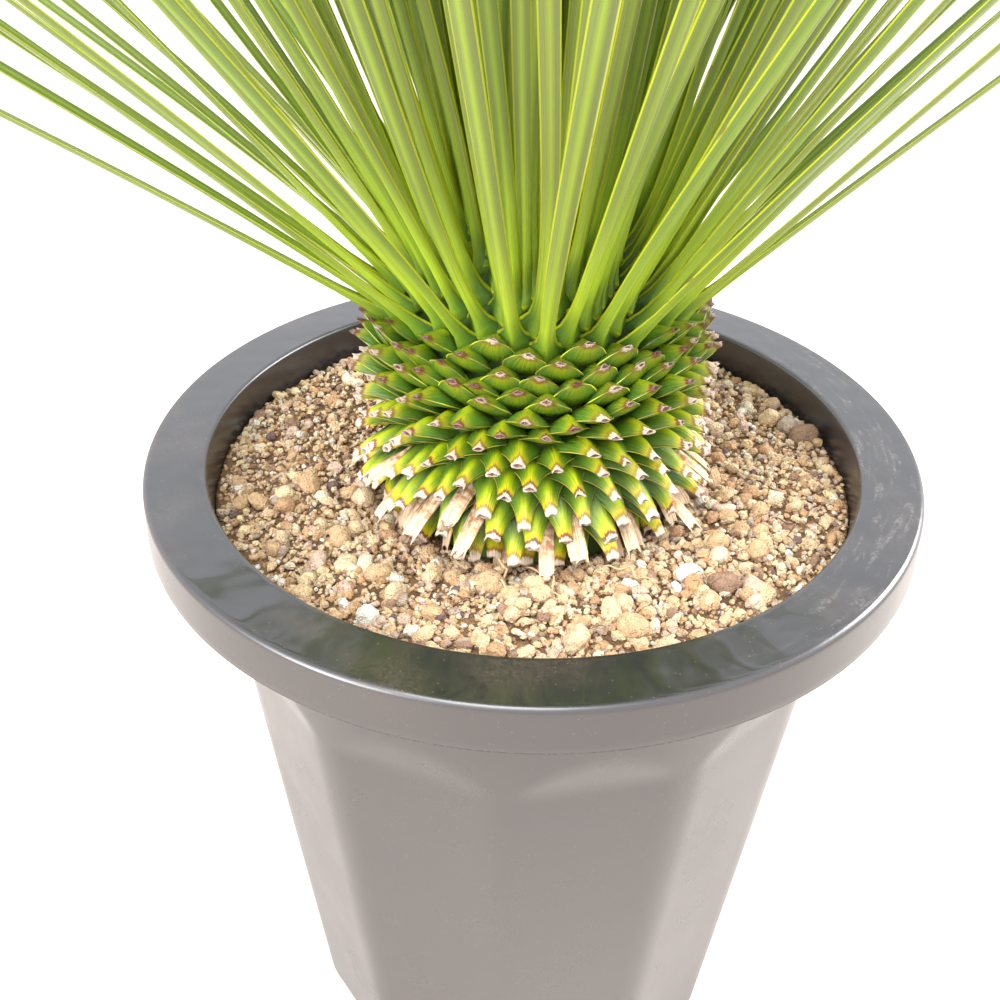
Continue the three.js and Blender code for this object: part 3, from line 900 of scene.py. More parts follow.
# The clods that stand out: turn in degrees, distance from the axis, size across in millimetres, and tint.
MAIN_CLODS = [
    (-82.6, 0.1114, 11.6, 0.25), (-73.5, 0.1004, 9.2, 0.30), (-71.5, 0.1109, 10.0, 0.10),
    (-102.0, 0.0809, 11.4, 0.15), (-128.8, 0.0967, 9.6, 0.05), (-121.6, 0.1003, 9.4, 0.28),
    (-141.0, 0.1078, 8.8, 0.55), (-110.4, 0.1163, 8.2, 0.44), (-49.7, 0.0933, 9.6, 0.80),
    (-47.5, 0.1061, 11.6, 0.93), (-44.0, 0.1155, 11.6, 0.52), (-53.7, 0.1098, 8.4, 0.24),
    (13.3, 0.1280, 11.4, 0.92), (-4.8, 0.0790, 9.6, 0.16), (-64.7, 0.0933, 6.2, 0.82),
    (-162.6, 0.1069, 9.4, 0.32), (-170.0, 0.0952, 11.8, 0.02), (17.7, 0.1230, 8.8, 0.70),
    (-34.5, 0.0897, 10.8, 0.08), (-95.0, 0.0985, 8.6, 0.18), (-12.0, 0.1130, 8.4, 0.22),
    (-118.0, 0.0850, 8.0, 0.60), (-60.0, 0.0830, 8.2, 0.12),
]
HALF_MILLIMETRE = 0.0005
# The kinds of stones: their least and greatest size, the skew of their sizes, how much they keep to the
# coarse side, their roughness, and their least and greatest lift.
STONES = {
    "gravel_grit": ((0.0006, 0.0016), 1.4, 0.0, 0.22, (0.1, 1.3)),
    "gravel_grains": ((0.0012, 0.0030), 2.1, 0.25, 0.17, (0.2, 0.95)),
    "gravel_clods": ((0.0028, 0.0046), 1.6, 0.85, 0.12, (0.3, 0.6)),
}


def make_gravel(look):
    rng = np.random.default_rng(GRAVEL_SEED)
    turn, radius, across, main_tint = np.array(MAIN_CLODS).T
    material = stone_material()
    pieces = []
    shapes = (ball(1), block_ball(), ball(3))
    counts = (look.grit_count, look.gravel_count, look.clod_count)
    for (name, kind), shape, count in zip(STONES.items(), shapes, counts):
        sizes, skew, coarse_side, roughness, lift = kind
        places = strewn(count, sizes, skew, coarse_side, rng)
        tint = rng.uniform(size=len(places[0]))
        clods = name == "gravel_clods"
        if clods:
            places = np.concatenate([places, (np.radians(turn), radius, across * HALF_MILLIMETRE)], axis=1)
            tint = np.append(0.9 * tint ** 1.4, main_tint)
        piece = stones(name, shape, *places, tint, roughness, lift, look.unevenness, rng, smooth=clods)
        piece.data.materials.append(material)
        pieces.append(piece)
    return pieces


# ---------------------------------------------------------------- where leaves start, and how they run


def facings(index):
    """For leaf numbers (n,): unit vectors out from the axis, and level beside it."""
    turn = index * GOLDEN_ANGLE
    cosine, sine, zero = np.cos(turn), np.sin(turn), np.zeros(len(turn))
    return np.stack([cosine, sine, zero], -1), np.stack([-sine, cosine, zero], -1)


def headings(outwards, pitch):
    """Unit vectors at a pitch above the level, in each leaf's own upright plane."""
    up = np.array([0.0, 0.0, 1.0])
    return outwards * np.cos(pitch)[:, None] + up * np.sin(pitch)[:, None]


def roots(layout, outwards):
    """The points on the core where leaves start."""
    points = outwards * layout["radius"][:, None]
    points[:, 2] = layout["height"]
    return points


def merged(*layouts):
    return {key: np.concatenate([layout[key] for layout in layouts]) for key in layouts[0]}


def picked(layout, which):
    return {key: values[which] for key, values in layout.items()}


def lean_pitch(turn):
    """Degrees that the crown's lean adds to a leaf's pitch at this turn."""
    return -CROWN_LEAN * np.cos(turn - CROWN_LEAN_TURN)


def heart_radius(rise):
    return CORE_RADIUS * np.sqrt(np.maximum(1 - (rise / HEART_HEIGHT) ** 2, 0))


def crown_places(order):
    """Where leaves of the given numbers start, and the pitch they start at. Equal steps up the domed heart
    give each leaf an equal share of its surface."""
    index = STUB_COUNT + order
    share = (order + 0.5) / LEAF_COUNT
    rise = lerp(FIRST_LEAF_RISE, LAST_LEAF_RISE, share)
    turn = index * GOLDEN_ANGLE
    lean = lean_pitch(turn) * (1 - share)
    base_pitch = np.radians(lerp(BASE_LOW_PITCH, LEAF_HIGH_PITCH, share) + lean)
    return {"index": index, "share": share, "radius": heart_radius(rise), "height": CORE_TOP + GAP + rise,
            "trimmed": rise < -FRONT_TRIM_RISE * np.sin(turn), "base_pitch": base_pitch, "lean": lean}


def grown(places, pitch_draw, length_draw):
    """The places with each leaf's pitch and length, from two numbers in 0..1 a leaf."""
    pitch = lerp(LEAF_LOW_PITCH, LEAF_HIGH_PITCH, places["share"]) + places["lean"]
    length = lerp(LEAF_LENGTH, INNER_LEAF_LENGTH, places["share"] ** 2)
    return {**places, "pitch": np.radians(pitch + LEAF_SCATTER * (pitch_draw - 0.5)),
            "length": length * (1 + LENGTH_SCATTER * (length_draw - 0.5))}


def crown_layout():
    """The crown's main leaves, and the places where its front is trimmed."""
    places = crown_places(np.arange(LEAF_COUNT))
    draw = drawn_numbers(CROWN_SEED)
    drawn = np.array([(next(draw), 0.5 if cut else next(draw)) for cut in places["trimmed"]])
    return grown(places, *drawn.T)


def fill_layout(rng):
    """Leaves that fill the crown's inside, halfway between the main ones' numbers."""
    order = np.round(np.linspace(FIRST_FILL_LEAF, LEAF_COUNT - 1, FILL_COUNT)) - 0.5
    return grown(crown_places(order), *rng.uniform(size=(2, FILL_COUNT)))


def stub_layout():
    """Leaf number, radius, height, pitch and length of the trimmed leaf bases: those on the trunk, then those
    where the crown's front is trimmed."""
    index = np.arange(STUB_COUNT)
    share = index / (STUB_COUNT - 1)
    draw = drawn_numbers(TRUNK_SEED)
    scatter = np.array([next(draw) for _ in index]) * STUB_SCATTER
    lean = lean_pitch(index * GOLDEN_ANGLE)
    pitch = np.radians(lerp(STUB_LOW_PITCH, STUB_HIGH_PITCH, smoothstep(share, 0, 1)) + lean * share ** 2)
    longest = lerp(STUB_LOW_LONGEST, STUB_HIGH_LONGEST, share)
    trunk = {
        "index": index,
        "radius": np.full(STUB_COUNT, CORE_RADIUS),
        "height": lerp(STUB_FIRST_HEIGHT, STUB_LAST_HEIGHT, share),
        "pitch": pitch,
        "length": np.minimum((STUB_REACH - CORE_RADIUS) / np.cos(pitch), longest) + scatter,
    }
    crown = crown_layout()
    front = picked(crown, crown["trimmed"])
    front.update(pitch=front["base_pitch"], length=np.full(len(front["index"]), HEART_STUB_LENGTH))
    return merged(trunk, front)


def old_layout():
    """The oldest leaf bases, tucked under the others: the spiral carried on downwards, nearly upright."""
    order = np.arange(OLD_COUNT)
    share = order / (OLD_COUNT - 1)
    return {
        "index": -1.0 - order,
        "radius": np.full(OLD_COUNT, CORE_RADIUS),
        "height": lerp(STUB_FIRST_HEIGHT - 0.001, STUB_FIRST_HEIGHT - 0.006, share),
        "pitch": np.radians(lerp(-56, -72, share)),
        "length": np.full(OLD_COUNT, OLD_LENGTH),
    }


def leaf_section(columns):
    """Points round a leaf's section, as across in -1..1 and which face, from 0 at the edges to 1 or -1."""
    angle = full_turn(columns)
    return np.cos(angle), np.sin(angle)


def carried(section, spine, tangent, sideways, twist, half_width, upper, lower, belly, cup):
    """A leaf section carried along spines (copies, rows, 3). Across runs along the level line, turned about
    the spine by a twist. The upper face is domed by upper. The lower face stands out by lower, as a keel
    where belly is 0 and as a round belly where it is 1. The edges are turned up by cup, which grows from
    the middle with the square of across."""
    across, face = section
    sideways = sideways[:, None]
    above = np.cross(tangent, sideways)
    cosine, sine = np.cos(twist)[..., None], np.sin(twist)[..., None]
    side, above = sideways * cosine + above * sine, above * cosine - sideways * sine
    keel = lerp((1 - np.abs(across)) ** 0.9, (1 - across ** 2) ** 1.6, belly[..., None])
    dome = np.where(face > 0, upper[..., None] * (1 - across ** 2), -lower[..., None] * keel)
    rise = dome + cup[..., None] * across ** 2
    return (spine[:, :, None] + side[:, :, None] * (half_width[..., None] * across)[..., None]
            + above[:, :, None] * rise[..., None])


def core_object(name, radius, height):
    """The plain green core inside the leaf bases, marked as deep shade."""
    grid = turned_grid(np.array(radius)[:, None], height, CORE_COLUMNS)[None]
    return tubes(name, grid, back=1.5, along=-1.0, across=0.0, face=-1.0, tint=0.5, dry=0.0, fresh=0.3,
                 cap=0.0, depth=1.0)


# ---------------------------------------------------------------- trunk


def freshness(layout):
    """0 for the lowest leaf bases, 1 for those at the crown."""
    return np.clip((layout["height"] - STUB_FIRST_HEIGHT) / (CORE_TOP - STUB_FIRST_HEIGHT), 0, 1)


def stub_grid(section, layout, look, dry, rng):
    """Trimmed leaf bases: wide where they clasp the trunk, drawn in to a thick strap, and cut off with a
    ragged end. Low ones are drawn in on a hollow curve; those near the crown are full scales with a round
    belly. Dry ones are longer, flatter and twisted. Numbers are (copies, 1), or (copies, rows) where they
    vary along a leaf base."""
    outwards, sideways = facings(layout["index"])
    heading = headings(outwards, layout["pitch"])
    each = (len(heading), 1)
    above = np.cross(heading, sideways)
    heading = heading + sideways * rng.normal(0, YAW_SPREAD, each) + above * rng.normal(0, PITCH_SPREAD, each)
    heading = unit(heading)
    sideways = unit(np.cross(heading, above))
    fresh, dry = freshness(layout)[:, None], dry[:, None]
    grade = smoothstep(fresh, 0.3, 0.9)
    length = layout["length"][:, None] * (1 + 0.14 * dry) * (1 - 0.2 * smoothstep(fresh, 0.6, 1.0))
    back = np.minimum(STUB_ROWS, length + ROOT_SINK)
    out = 1 - back / (length + ROOT_SINK)
    end = roots(layout, outwards) + heading * length
    droop = rng.uniform(-0.08, 0.08, each) * length * out ** 2
    spine = end[:, None] - heading[:, None] * back[..., None] + above[:, None] * droop[..., None]
    flare_end = lerp(LOW_FLARE_END, HIGH_FLARE_END, grade) * (1 + 0.5 * dry)
    flare = np.clip((back - FLARE_START) / (flare_end - FLARE_START), 0, 1)
    flare = flare ** lerp(LOW_FLARE_POWER, HIGH_FLARE_POWER, grade)
    closing = np.append(np.ones(len(STUB_ROWS) - 1), HOLLOW_WIDTH)
    end_width = look.cut_width * rng.uniform(0.85, 1.15, each) * (1 + 0.05 * dry - 0.34 * fresh)
    full_width = look.base_width * (1 - dry * rng.uniform(0.5, 0.68, each)) * (1 + 0.06 * fresh)
    half_width = 0.5 * lerp(end_width, full_width, flare) * closing * (1 - 0.08 * (back < 0.003))
    thickness = look.cut_thickness * rng.uniform(0.85, 1.1, each) * (1 - 0.6 * dry)
    body = np.interp(back, [0, 0.002, 0.0035, 0.009, 0.02], [0.6, 0.75, 1.0, 1.35, 1.0])
    body = body * closing * (1 - 0.55 * fresh * smoothstep(-back, -0.008, -0.002))
    swelling = np.interp(back, [0, 0.003, 0.007, 0.011, 0.02], [0, 0.35, 1.15, 1.3, 0.8])
    lower = 0.60 * thickness * (body + 1.1 * (swelling * smoothstep(fresh, 0.2, 0.9)))
    cup = lerp(LOW_ARCH, HIGH_ARCH, smoothstep(fresh, 0.25, 0.8)) * flare - DRY_CURL * dry * out
    twist = (rng.uniform(-0.2, 0.2, each) + dry * rng.uniform(-0.6, 0.6, each)) * out
    tangent = np.broadcast_to(heading[:, None], spine.shape)
    upper = 0.45 * thickness * body
    grid = carried(section, spine, tangent, sideways, twist, half_width, upper, lower, fresh, cup)
    across, face = section
    waves = (*each, 1, 4)
    angle = np.arctan2(face, across)[:, None] * np.arange(1, 5) + rng.uniform(0, 2 * np.pi, waves)
    ragged = (np.sin(angle) * rng.uniform(0.1, 0.5, waves)).sum(-1) * RAGGED_HEIGHT * (1 + 2 * dry)[..., None]
    torn = ragged * smoothstep(-back, -0.003, 0.0)[..., None] * (closing == 1)[:, None]
    return grid + heading[:, None, None] * torn[..., None], back


# Colours of dry leaf bases' fibres, from dark to pale, and of the streaks along them.
STRAW_COLOURS = [(0.0, (0.50, 0.28, 0.14)), (0.4, (0.72, 0.53, 0.34)), (1.0, (0.84, 0.72, 0.54))]
STRAW_STREAK = (0.42, 0.15, 0.04)


def leaf_base_material(look):
    """Fleshy green leaf bases: a bright middle and belly that are painted highlights, painted shade on the
    darker flanks and towards where they clasp, pale toothed edges with a band of painted shade inside them, a
    scorched band that arches over the middle and a pale fibrous cut. Dry ones are papery straw all over."""
    m = Material("leaf bases", Specular_IOR_Level=0.45)
    fit, span, times = m.fit, m.span, m.times
    back, across, face, tint = m.attributes("back", "across", "face", "tint")
    dry, fresh, cap = m.attributes("dry", "fresh", "cap")
    lines, blotches = m.group("Fibres", across, back, tint, 7.0, 1.6)
    side = m.absolute(across)
    older = times(fit(fresh, 0.1, 0.75), fit(back, 0.05, 0.30, 0.8, 0.97))
    narrow = times(fresh, fit(face, 0.0, -0.2))
    # Painted highlight: a round spot on the belly of each leaf base near the crown.
    belly_highlight = fit(m.distance(times(side, 0.5), m.plus(back, -0.45)), 0.20, 0.02)
    turned = m.plus(m.absolute(face), span(lines, -0.04, 0.04))
    edge = fit(turned, fit(narrow, 0.0, 0.6, 0.28, 0.10), fit(narrow, 0.0, 0.6, 0.16, 0.03), 0.0, 0.92)
    margin = m.layers(look.margin, (fit(fresh, 0.2, 0.8, 0.0, 0.7), look.ripe_and_highlight),
                      (times(fit(lines, 0.4, 0.6, 0.0, 0.75), fresh), look.scorch))
    near = m.plus(back, span(lines, -0.03, 0.03), times(fresh, 0.08), span(side, -0.05, 0.03),
                  span(tint, -0.05, 0.04))
    cut = fit(near, 0.122, 0.098)
    bleached = m.layers(look.cut, (times(lines, 0.5), look.tan),
                        (times(fit(fresh, 0.3, 0.8), fit(tint, 0.15, 0.8, 0.2, 0.95)), look.stain))
    streak = times(fit(blotches, 0.42, 0.6), fit(back, 0.15, 0.7), 0.85)
    straw = m.layers(m.ramp(lines, STRAW_COLOURS), (streak, STRAW_STREAK))
    colour = m.layers(
        # Painted shade: darker from the cut back towards where each leaf base clasps the trunk.
        m.ramp(back, [(0.16, look.ripe_and_highlight), (0.40, look.green), (0.68, look.deep), (1.0, look.shade)]),
        # Painted highlight down the middle of each leaf base.
        (times(fit(side, 0.55, 0.0), fit(back, 0.85, 0.35), 0.7), look.ripe_and_highlight),
        # Painted shade on the flanks.
        (times(fit(side, 0.25, 0.8), fit(back, 0.22, 0.5), 0.75), look.deep),
        (older, look.young),
        # Painted shade along the edges of the leaf bases near the crown.
        (times(fit(side, 0.2, 0.75, 0.0, 0.95), older), look.deep),
        (fit(blotches, 0.4, 0.75, 0.0, 0.3), look.deep),
        (times(belly_highlight, narrow, 0.85), look.ripe_and_highlight),
        (fit(turned, 0.52, 0.14, 0.0, 0.8), look.shade),
        (edge, margin),
        (times(fit(near, 0.36, 0.22), fit(fresh, 0.2, 0.8, 0.6, 0.12)), look.amber),
        (times(fit(near, 0.205, 0.165), fit(tint, 0.0, 0.7, 0.4, 0.95)), look.scorch),
        (cut, bleached),
        (dry, straw),
        (times(fit(cap, 0.25, 0.9), fit(blotches, 0.3, 0.6, 0.55, 1.0)), look.stain),
    )
    dull = m.highest(dry, cut, fit(back, 1.2, 1.4))
    return m.finish(colour, span(dull, 0.34, 0.88), lines, 0.0005, 0.6)


def make_trunk(look):
    layout = merged(stub_layout(), old_layout())
    rng = np.random.default_rng(STUB_SEED)
    count = len(layout["index"])
    low = np.clip(1 - (layout["height"] - STUB_FIRST_HEIGHT) / DRY_HEIGHT, 0, 1)
    dry = (rng.uniform(size=count) < DRY_SHARE * low).astype(float)
    section = leaf_section(STUB_COLUMNS)
    grid, back = stub_grid(section, layout, look, dry, rng)
    across, face = section
    cap = np.zeros((len(STUB_ROWS), 1))
    cap[-1] = 1.0
    stubs = tubes("leaf_bases", grid, back=back[..., None] / BACK_UNIT, across=across, face=face, cap=cap,
                  tint=rng.uniform(size=(count, 1, 1)), dry=dry[:, None, None],
                  fresh=freshness(layout)[:, None, None])
    radius = [POLE_RADIUS, CORE_FOOT_RADIUS, CORE_FOOT_RADIUS, CORE_RADIUS, CORE_RADIUS, CORE_RADIUS]
    height = [CORE_FOOT, CORE_FOOT, CORE_FOOT + 0.001, CORE_WAIST, CORE_TOP, CORE_TOP + 0.0001]
    trunk = joined("trunk_leaf_bases", [stubs, core_object("trunk_core", radius, height)])
    trunk.data.materials.append(leaf_base_material(look))
    return trunk


# ---------------------------------------------------------------- crown


def leaf_spines(layout, t):
    """Cubic curves (n, rows, 3), their unit tangents and the level lines beside them (n, 3). Each starts
    along its base pitch, bends to its own pitch and droops towards the tip."""
    outwards, sideways = facings(layout["index"])
    base_way = headings(outwards, layout["base_pitch"])
    way = headings(outwards, layout["pitch"])
    length = layout["length"][:, None]
    p0 = roots(layout, outwards) - base_way * ROOT_SINK
    p1 = p0 + base_way * BASE_REACH * length
    p2 = p1 + way * BEND_REACH * length
    p3 = p1 + way * (1 - BASE_REACH) * length
    p3[:, 2] -= LEAF_DROOP * layout["length"] * np.cos(layout["pitch"])
    s = t[None, :, None]
    p0, p1, p2, p3 = (p[:, None] for p in (p0, p1, p2, p3))
    spine = (1 - s) ** 3 * p0 + 3 * (1 - s) ** 2 * s * p1 + 3 * (1 - s) * s ** 2 * p2 + s ** 3 * p3
    tangent = (1 - s) ** 2 * (p1 - p0) + 2 * (1 - s) * s * (p2 - p1) + s ** 2 * (p3 - p2)
    return spine, unit(tangent), sideways


def blade_grid(section, layout, look, rng):
    """Live leaves: a wide clasping base, a narrow neck, a long flat blade with a keel, and a hard sharp tip.
    Each blade wanders a little to one side and twists a little."""
    t = np.linspace(0, 1, LEAF_ROWS) ** LEAF_ROW_CROWDING
    spine, tangent, sideways = leaf_spines(layout, t)
    each = (len(spine), 1)
    swing = np.sin(np.pi * np.minimum(t / 0.5, 2))
    wander = rng.normal(0, 0.007, each) * t ** 2 + rng.normal(0, 0.0022, each) * swing
    spine = spine + sideways[:, None] * wander[..., None]
    base, neck, blade = look.base_width, look.neck_width, look.blade_width
    stations = [0, 0.026, 0.037, 0.047, 0.060, 0.080, 0.12, 0.3, 0.5, 0.66, 0.8, 0.9, 0.96, 0.99, 1]
    widths = [base, base, 0.86 * base, 0.64 * base, 0.47 * base, 1.2 * neck, neck, lerp(neck, blade, 0.6),
              blade, *(share * blade for share in (0.97, 0.8, 0.55, 0.3, 0.12, 0.05))]
    half_width = 0.5 * np.interp(t, stations, widths) * rng.uniform(0.9, 1.08, each)
    thick = np.interp(t, [0, 0.012, 0.022, 0.034, 0.055, 0.15, 0.4, 0.8, 1],
                      [0.0040, 0.0062, 0.0070, 0.0056, 0.0036, 0.0026, 0.002, 0.0015, 0.0004])
    cup = np.interp(t, [0, 0.06, 0.15, 0.5, 1], [0.0045, 0.0022, 0.0007, 0.0004, 0.0])
    twist = rng.normal(0, 0.3, each) * t + rng.normal(0, 0.09, each)
    belly = smoothstep(-t, -0.075, -0.035)
    upper, lower = 0.22 * thick, 0.8 * thick
    return carried(section, spine, tangent, sideways, twist, half_width, upper, lower, belly, cup), t


# Colours that some leaves take, of the painted highlight on a leaf's foot, of scars and of tips.
OLIVE, GRASS = (0.30, 0.30, 0.085), (0.10, 0.20, 0.022)
FOOT_HIGHLIGHT, SCAR, TIP = (0.55, 0.58, 0.01), (0.2, 0.075, 0.02), (0.2, 0.1, 0.03)


def leaf_material(look):
    """Leathery leaves: grey-green outside, grassier inside, warmer at the base, with thin yellow edges, fine
    lengthwise lines and a few rusty scars. Each blade's lighter middle is partly a painted highlight, and
    each foot has a painted highlight; the inner leaves' bases are made paler as painted light; painted shade
    darkens the sides and edges of the feet, the inner leaves' bases and the heart."""
    m = Material("leaves", Specular_IOR_Level=0.45)
    fit, span, times = m.fit, m.span, m.times
    along, across, tint, face, depth = m.attributes("along", "across", "tint", "face", "depth")
    lines, blotches = m.group("Fibres", across, along, tint, 12.0, 4.0)
    side, turned = m.absolute(across), m.absolute(face)
    inside, heart = fit(face, -0.05, 0.05), fit(along, 0.0, -0.5)
    belly_highlight = fit(m.distance(times(side, 0.02), m.plus(along, -0.027)), 0.0045, 0.001)
    edge = fit(turned, fit(along, 0.0, 0.1, 0.24, 0.42), fit(along, 0.0, 0.1, 0.12, 0.28), 0.0, 0.95)
    colour = m.layers(
        look.outer,
        (inside, look.inner),
        (fit(along, 0.05, 0.30, 0.95, 0.0), look.base),
        # Painted light: the bases of the inner leaves, which stand in shade, are made paler.
        (times(fit(depth, 0.05, 0.35), fit(along, 0.34, 0.14, 0.0, 0.5)), look.base * 1.35),
        (fit(along, 0.25, 0.50, 0.0, 0.45), look.outer * 0.4),
        (fit(tint, 0.6, 1.0, 0.0, 0.4), OLIVE),
        (fit(tint, 0.4, 0.0, 0.0, 0.45), GRASS),
        (span(lines, 0.0, 0.5), look.inner * 0.6),
        # The lighter middle of each blade is partly its paler keel and partly a painted highlight.
        (times(fit(side, 0.45, 0.05), fit(along, 0.0, 0.3, 0.5, 0.3)), look.base * 1.25),
        # Painted shade at the foot's sides, between neighbouring feet.
        (times(fit(along, 0.13, 0.05), fit(side, 0.0, 0.7, 0.5, 0.97)), look.foot),
        # Painted highlight on the outer face of each foot's belly.
        (times(belly_highlight, span(inside, 1.0, 0.0), 0.8), FOOT_HIGHLIGHT),
        # Painted shade in a band just inside the edges near the foot.
        (times(fit(turned, 0.62, 0.25), fit(along, 0.12, 0.05, 0.25, 0.7)), look.foot * 0.4),
        (edge, look.margin),
        # Painted shade at the bases of the inner leaves.
        (times(fit(along, 0.13, 0.04), fit(depth, 0.12, 0.45), 0.3), look.core),
        (times(fit(blotches, 0.7, 0.74), fit(side, 0.5, 0.9), 0.7), SCAR),
        (fit(along, 0.985, 0.995), TIP),
        # Painted shade: the heart between the leaves takes the dark core colour.
        (heart, look.core),
    )
    return m.finish(colour, m.highest(span(lines, 0.36, 0.50), times(heart, 0.9)), lines, 0.0002, 0.5)


def make_leaves(look):
    rng = np.random.default_rng(BLADE_SEED)
    layout = merged(crown_layout(), fill_layout(rng))
    layout = picked(layout, ~layout["trimmed"])
    section = leaf_section(LEAF_COLUMNS)
    grid, t = blade_grid(section, layout, look, rng)
    across, face = section
    leaves = tubes("blades", grid, along=t[:, None], across=across, face=face,
                   tint=rng.uniform(size=(len(grid), 1, 1)), depth=layout["share"][:, None, None])
    rise = HEART_HEIGHT * np.sin(np.linspace(0, np.pi / 2, HEART_ROWS + 1)[:-1])
    radius = np.concatenate([[POLE_RADIUS, CORE_RADIUS], heart_radius(rise)])
    height = CORE_TOP + GAP + np.concatenate([[0, 0], rise + 0.0001])
    crown = joined("leaf_blades", [leaves, core_object("heart", radius, height)])
    crown.data.materials.append(leaf_material(look))
    return crown


# ---------------------------------------------------------------- loose strands on the soil


# Turn, radius, heading, length, bend and thickness of each strand, and how pale it is.
STRANDS = [
    (-1.834, 0.0600, -1.45, 0.030, 0.35, 0.0012, 0.9),
    (-1.62, 0.0660, -1.15, 0.034, 0.45, 0.0009, 0.7),
    (-1.816, 0.0873, -2.6, 0.026, 1.0, 0.0006, 0.0),
    (-1.887, 0.0955, -1.9, 0.020, 1.3, 0.0006, 0.0),
    (-1.21, 0.0730, -0.6, 0.026, 0.5, 0.0008, 0.8),
    (-0.95, 0.104, 0.4, 0.026, 1.1, 0.0006, 0.2),
    (-0.361, 0.104, -1.3, 0.026, 0.8, 0.0007, 0.0),
    (-2.60, 0.100, 0.9, 0.024, 1.0, 0.0006, 0.1),
    (1.10, 0.105, 2.2, 0.034, 0.8, 0.0007, 0.3),
    (2.30, 0.108, 0.4, 0.028, 1.0, 0.0007, 0.2),
]
BROWN_FIBRES = [(0.0, (0.07, 0.03, 0.02)), (0.6, (0.15, 0.075, 0.045)), (1.0, (0.36, 0.24, 0.14))]
PALE_FIBRE = (0.66, 0.48, 0.28)


def strand_grid(turn, radius, heading, length, bend, thickness, unevenness):
    """Dry fibres that lie on the soil: level paths whose headings swing, with a round section. The numbers of
    each are (strands, 1)."""
    share = np.linspace(0, 1, STRAND_STEPS)
    swing = heading + bend * np.sin(share * np.pi * 2.3) + 0.6 * bend * np.sin(share * 9.1)
    step = length / (STRAND_STEPS - 1)
    x = radius * np.cos(turn) + np.cumsum(np.cos(swing), axis=1) * step
    y = radius * np.sin(turn) + np.cumsum(np.sin(swing), axis=1) * step
    z = soil_surface(x, y, unevenness) + STRAND_LIFT + STRAND_WAVE * np.sin(share * 17)
    side = np.stack([-np.sin(swing), np.cos(swing), np.zeros_like(swing)], -1)
    angle = full_turn(STRAND_COLUMNS)[:, None]
    offset = side[:, :, None] * np.cos(angle) + np.array([0, 0, 1.0]) * np.sin(angle)
    half = thickness / 2 * np.interp(share, [0, 0.1, 0.8, 1], [0.7, 1, 0.8, 0.25])
    return np.stack([x, y, z], -1)[:, :, None] + half[..., None, None] * offset


def fibre_material():
    """Brown to straw-coloured fibres, with fine lines along them."""
    m = Material("dry fibre", Specular_IOR_Level=0.3)
    across, along, tint, pale = m.attributes("across", "along", "tint", "pale")
    lines = m.group("Fibres", across, along, tint, 3.0, 14.0)[0]
    return m.finish(m.mix(pale, m.ramp(lines, BROWN_FIBRES), PALE_FIBRE), m.span(lines, 0.6, 0.9))


def make_strands(look):
    *numbers, pale = np.array(STRANDS).T[..., None]
    strands = tubes("dry_strands", strand_grid(*numbers, look.unevenness), pale=pale[:, None], across=0.5,
                    along=np.linspace(0, 1, STRAND_STEPS)[:, None],
                    tint=np.linspace(0, 1, len(STRANDS))[:, None, None])
    strands.data.materials.append(fibre_material())
    return strands


# ---------------------------------------------------------------- stage


def make_camera(look):
    """Looks down at the target from the front, leaning over by the roll."""
    back = Vector((0, -math.cos(look.elevation), math.sin(look.elevation)))
    right = Vector((1, 0, 0))
    turn = Matrix((right, back.cross(right), back)).transposed() @ Matrix.Rotation(look.roll, 3, "Z")
    data = bpy.data.cameras.new("camera")
    data.sensor_width = SENSOR
    data.lens = look.lens
    data.clip_start = 0.01
    camera = linked("camera", data)
    camera.matrix_world = Matrix.Translation(CAMERA_TARGET + look.distance * back) @ turn.to_4x4()
    bpy.context.scene.camera = camera


def make_light(name, position, size, power):
    """A round lamp that shines at the plant."""
    data = bpy.data.lights.new(name, "AREA")
    data.shape = "DISK"
    data.size = size
    data.energy = power
    turn = (LIGHT_AIM - Vector(position)).to_track_quat("-Z", "Y").to_matrix()
    linked(name, data).matrix_world = Matrix.Translation(position) @ turn.to_4x4()


def make_floor(look):
    """A level sheet that sweeps up far behind the plant: a flat grid whose back rows follow a quarter
    round."""
    reach = np.linspace(*FLOOR_REACH, 60)
    drop = np.sqrt(np.maximum(SWEEP_RADIUS ** 2 - (reach - SWEEP_START) ** 2, 0))
    rise = np.where(reach > SWEEP_START, SWEEP_RADIUS - drop, 0.0)
    x, y = np.meshgrid(np.linspace(*FLOOR_SIDES, 8), reach, indexing="ij")
    points = np.stack([x, y, np.broadcast_to(rise - FLOOR_DROP, x.shape)], -1).reshape(-1, 3)
    rows, columns = x.shape
    corner = (np.arange(rows - 1)[:, None] * columns + np.arange(columns - 1)[None]).reshape(-1)
    quads = np.stack([corner, corner + columns, corner + columns + 1, corner + 1], -1)
    floor = mesh_object("floor", points, [quads])
    m = Material("floor", Roughness=0.6, Specular_IOR_Level=0.2)
    shade = m.fit(m.noise(m.point(), 2.0, 2.0), 0.3, 0.7, 0.97, 1.0)
    floor.data.materials.append(m.finish(m.shaded(look.floor, shade)))


def make_surround(look):
    world = bpy.data.worlds.new("surround")
    bpy.context.scene.world = world
    world.use_nodes = True
    background = world.node_tree.nodes["Background"].inputs
    background["Color"].default_value = (*look.surround, 1.0)
    background["Strength"].default_value = look.sky


def make_stage(look):
    bpy.context.scene.view_settings.view_transform = "Standard"
    make_camera(look)
    make_floor(look)
    make_surround(look)
    for name, (position, size, share) in LIGHTS.items():
        make_light(name, position, size, share * look.key)


# ---------------------------------------------------------------- operators, panel and registration


def finished_piece(piece, slot, *nodes):
    """Puts a piece on the plant's body and hides the solids that it stands for. The slot is not used."""
    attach(piece, "root")
    if nodes:
        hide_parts(*nodes)


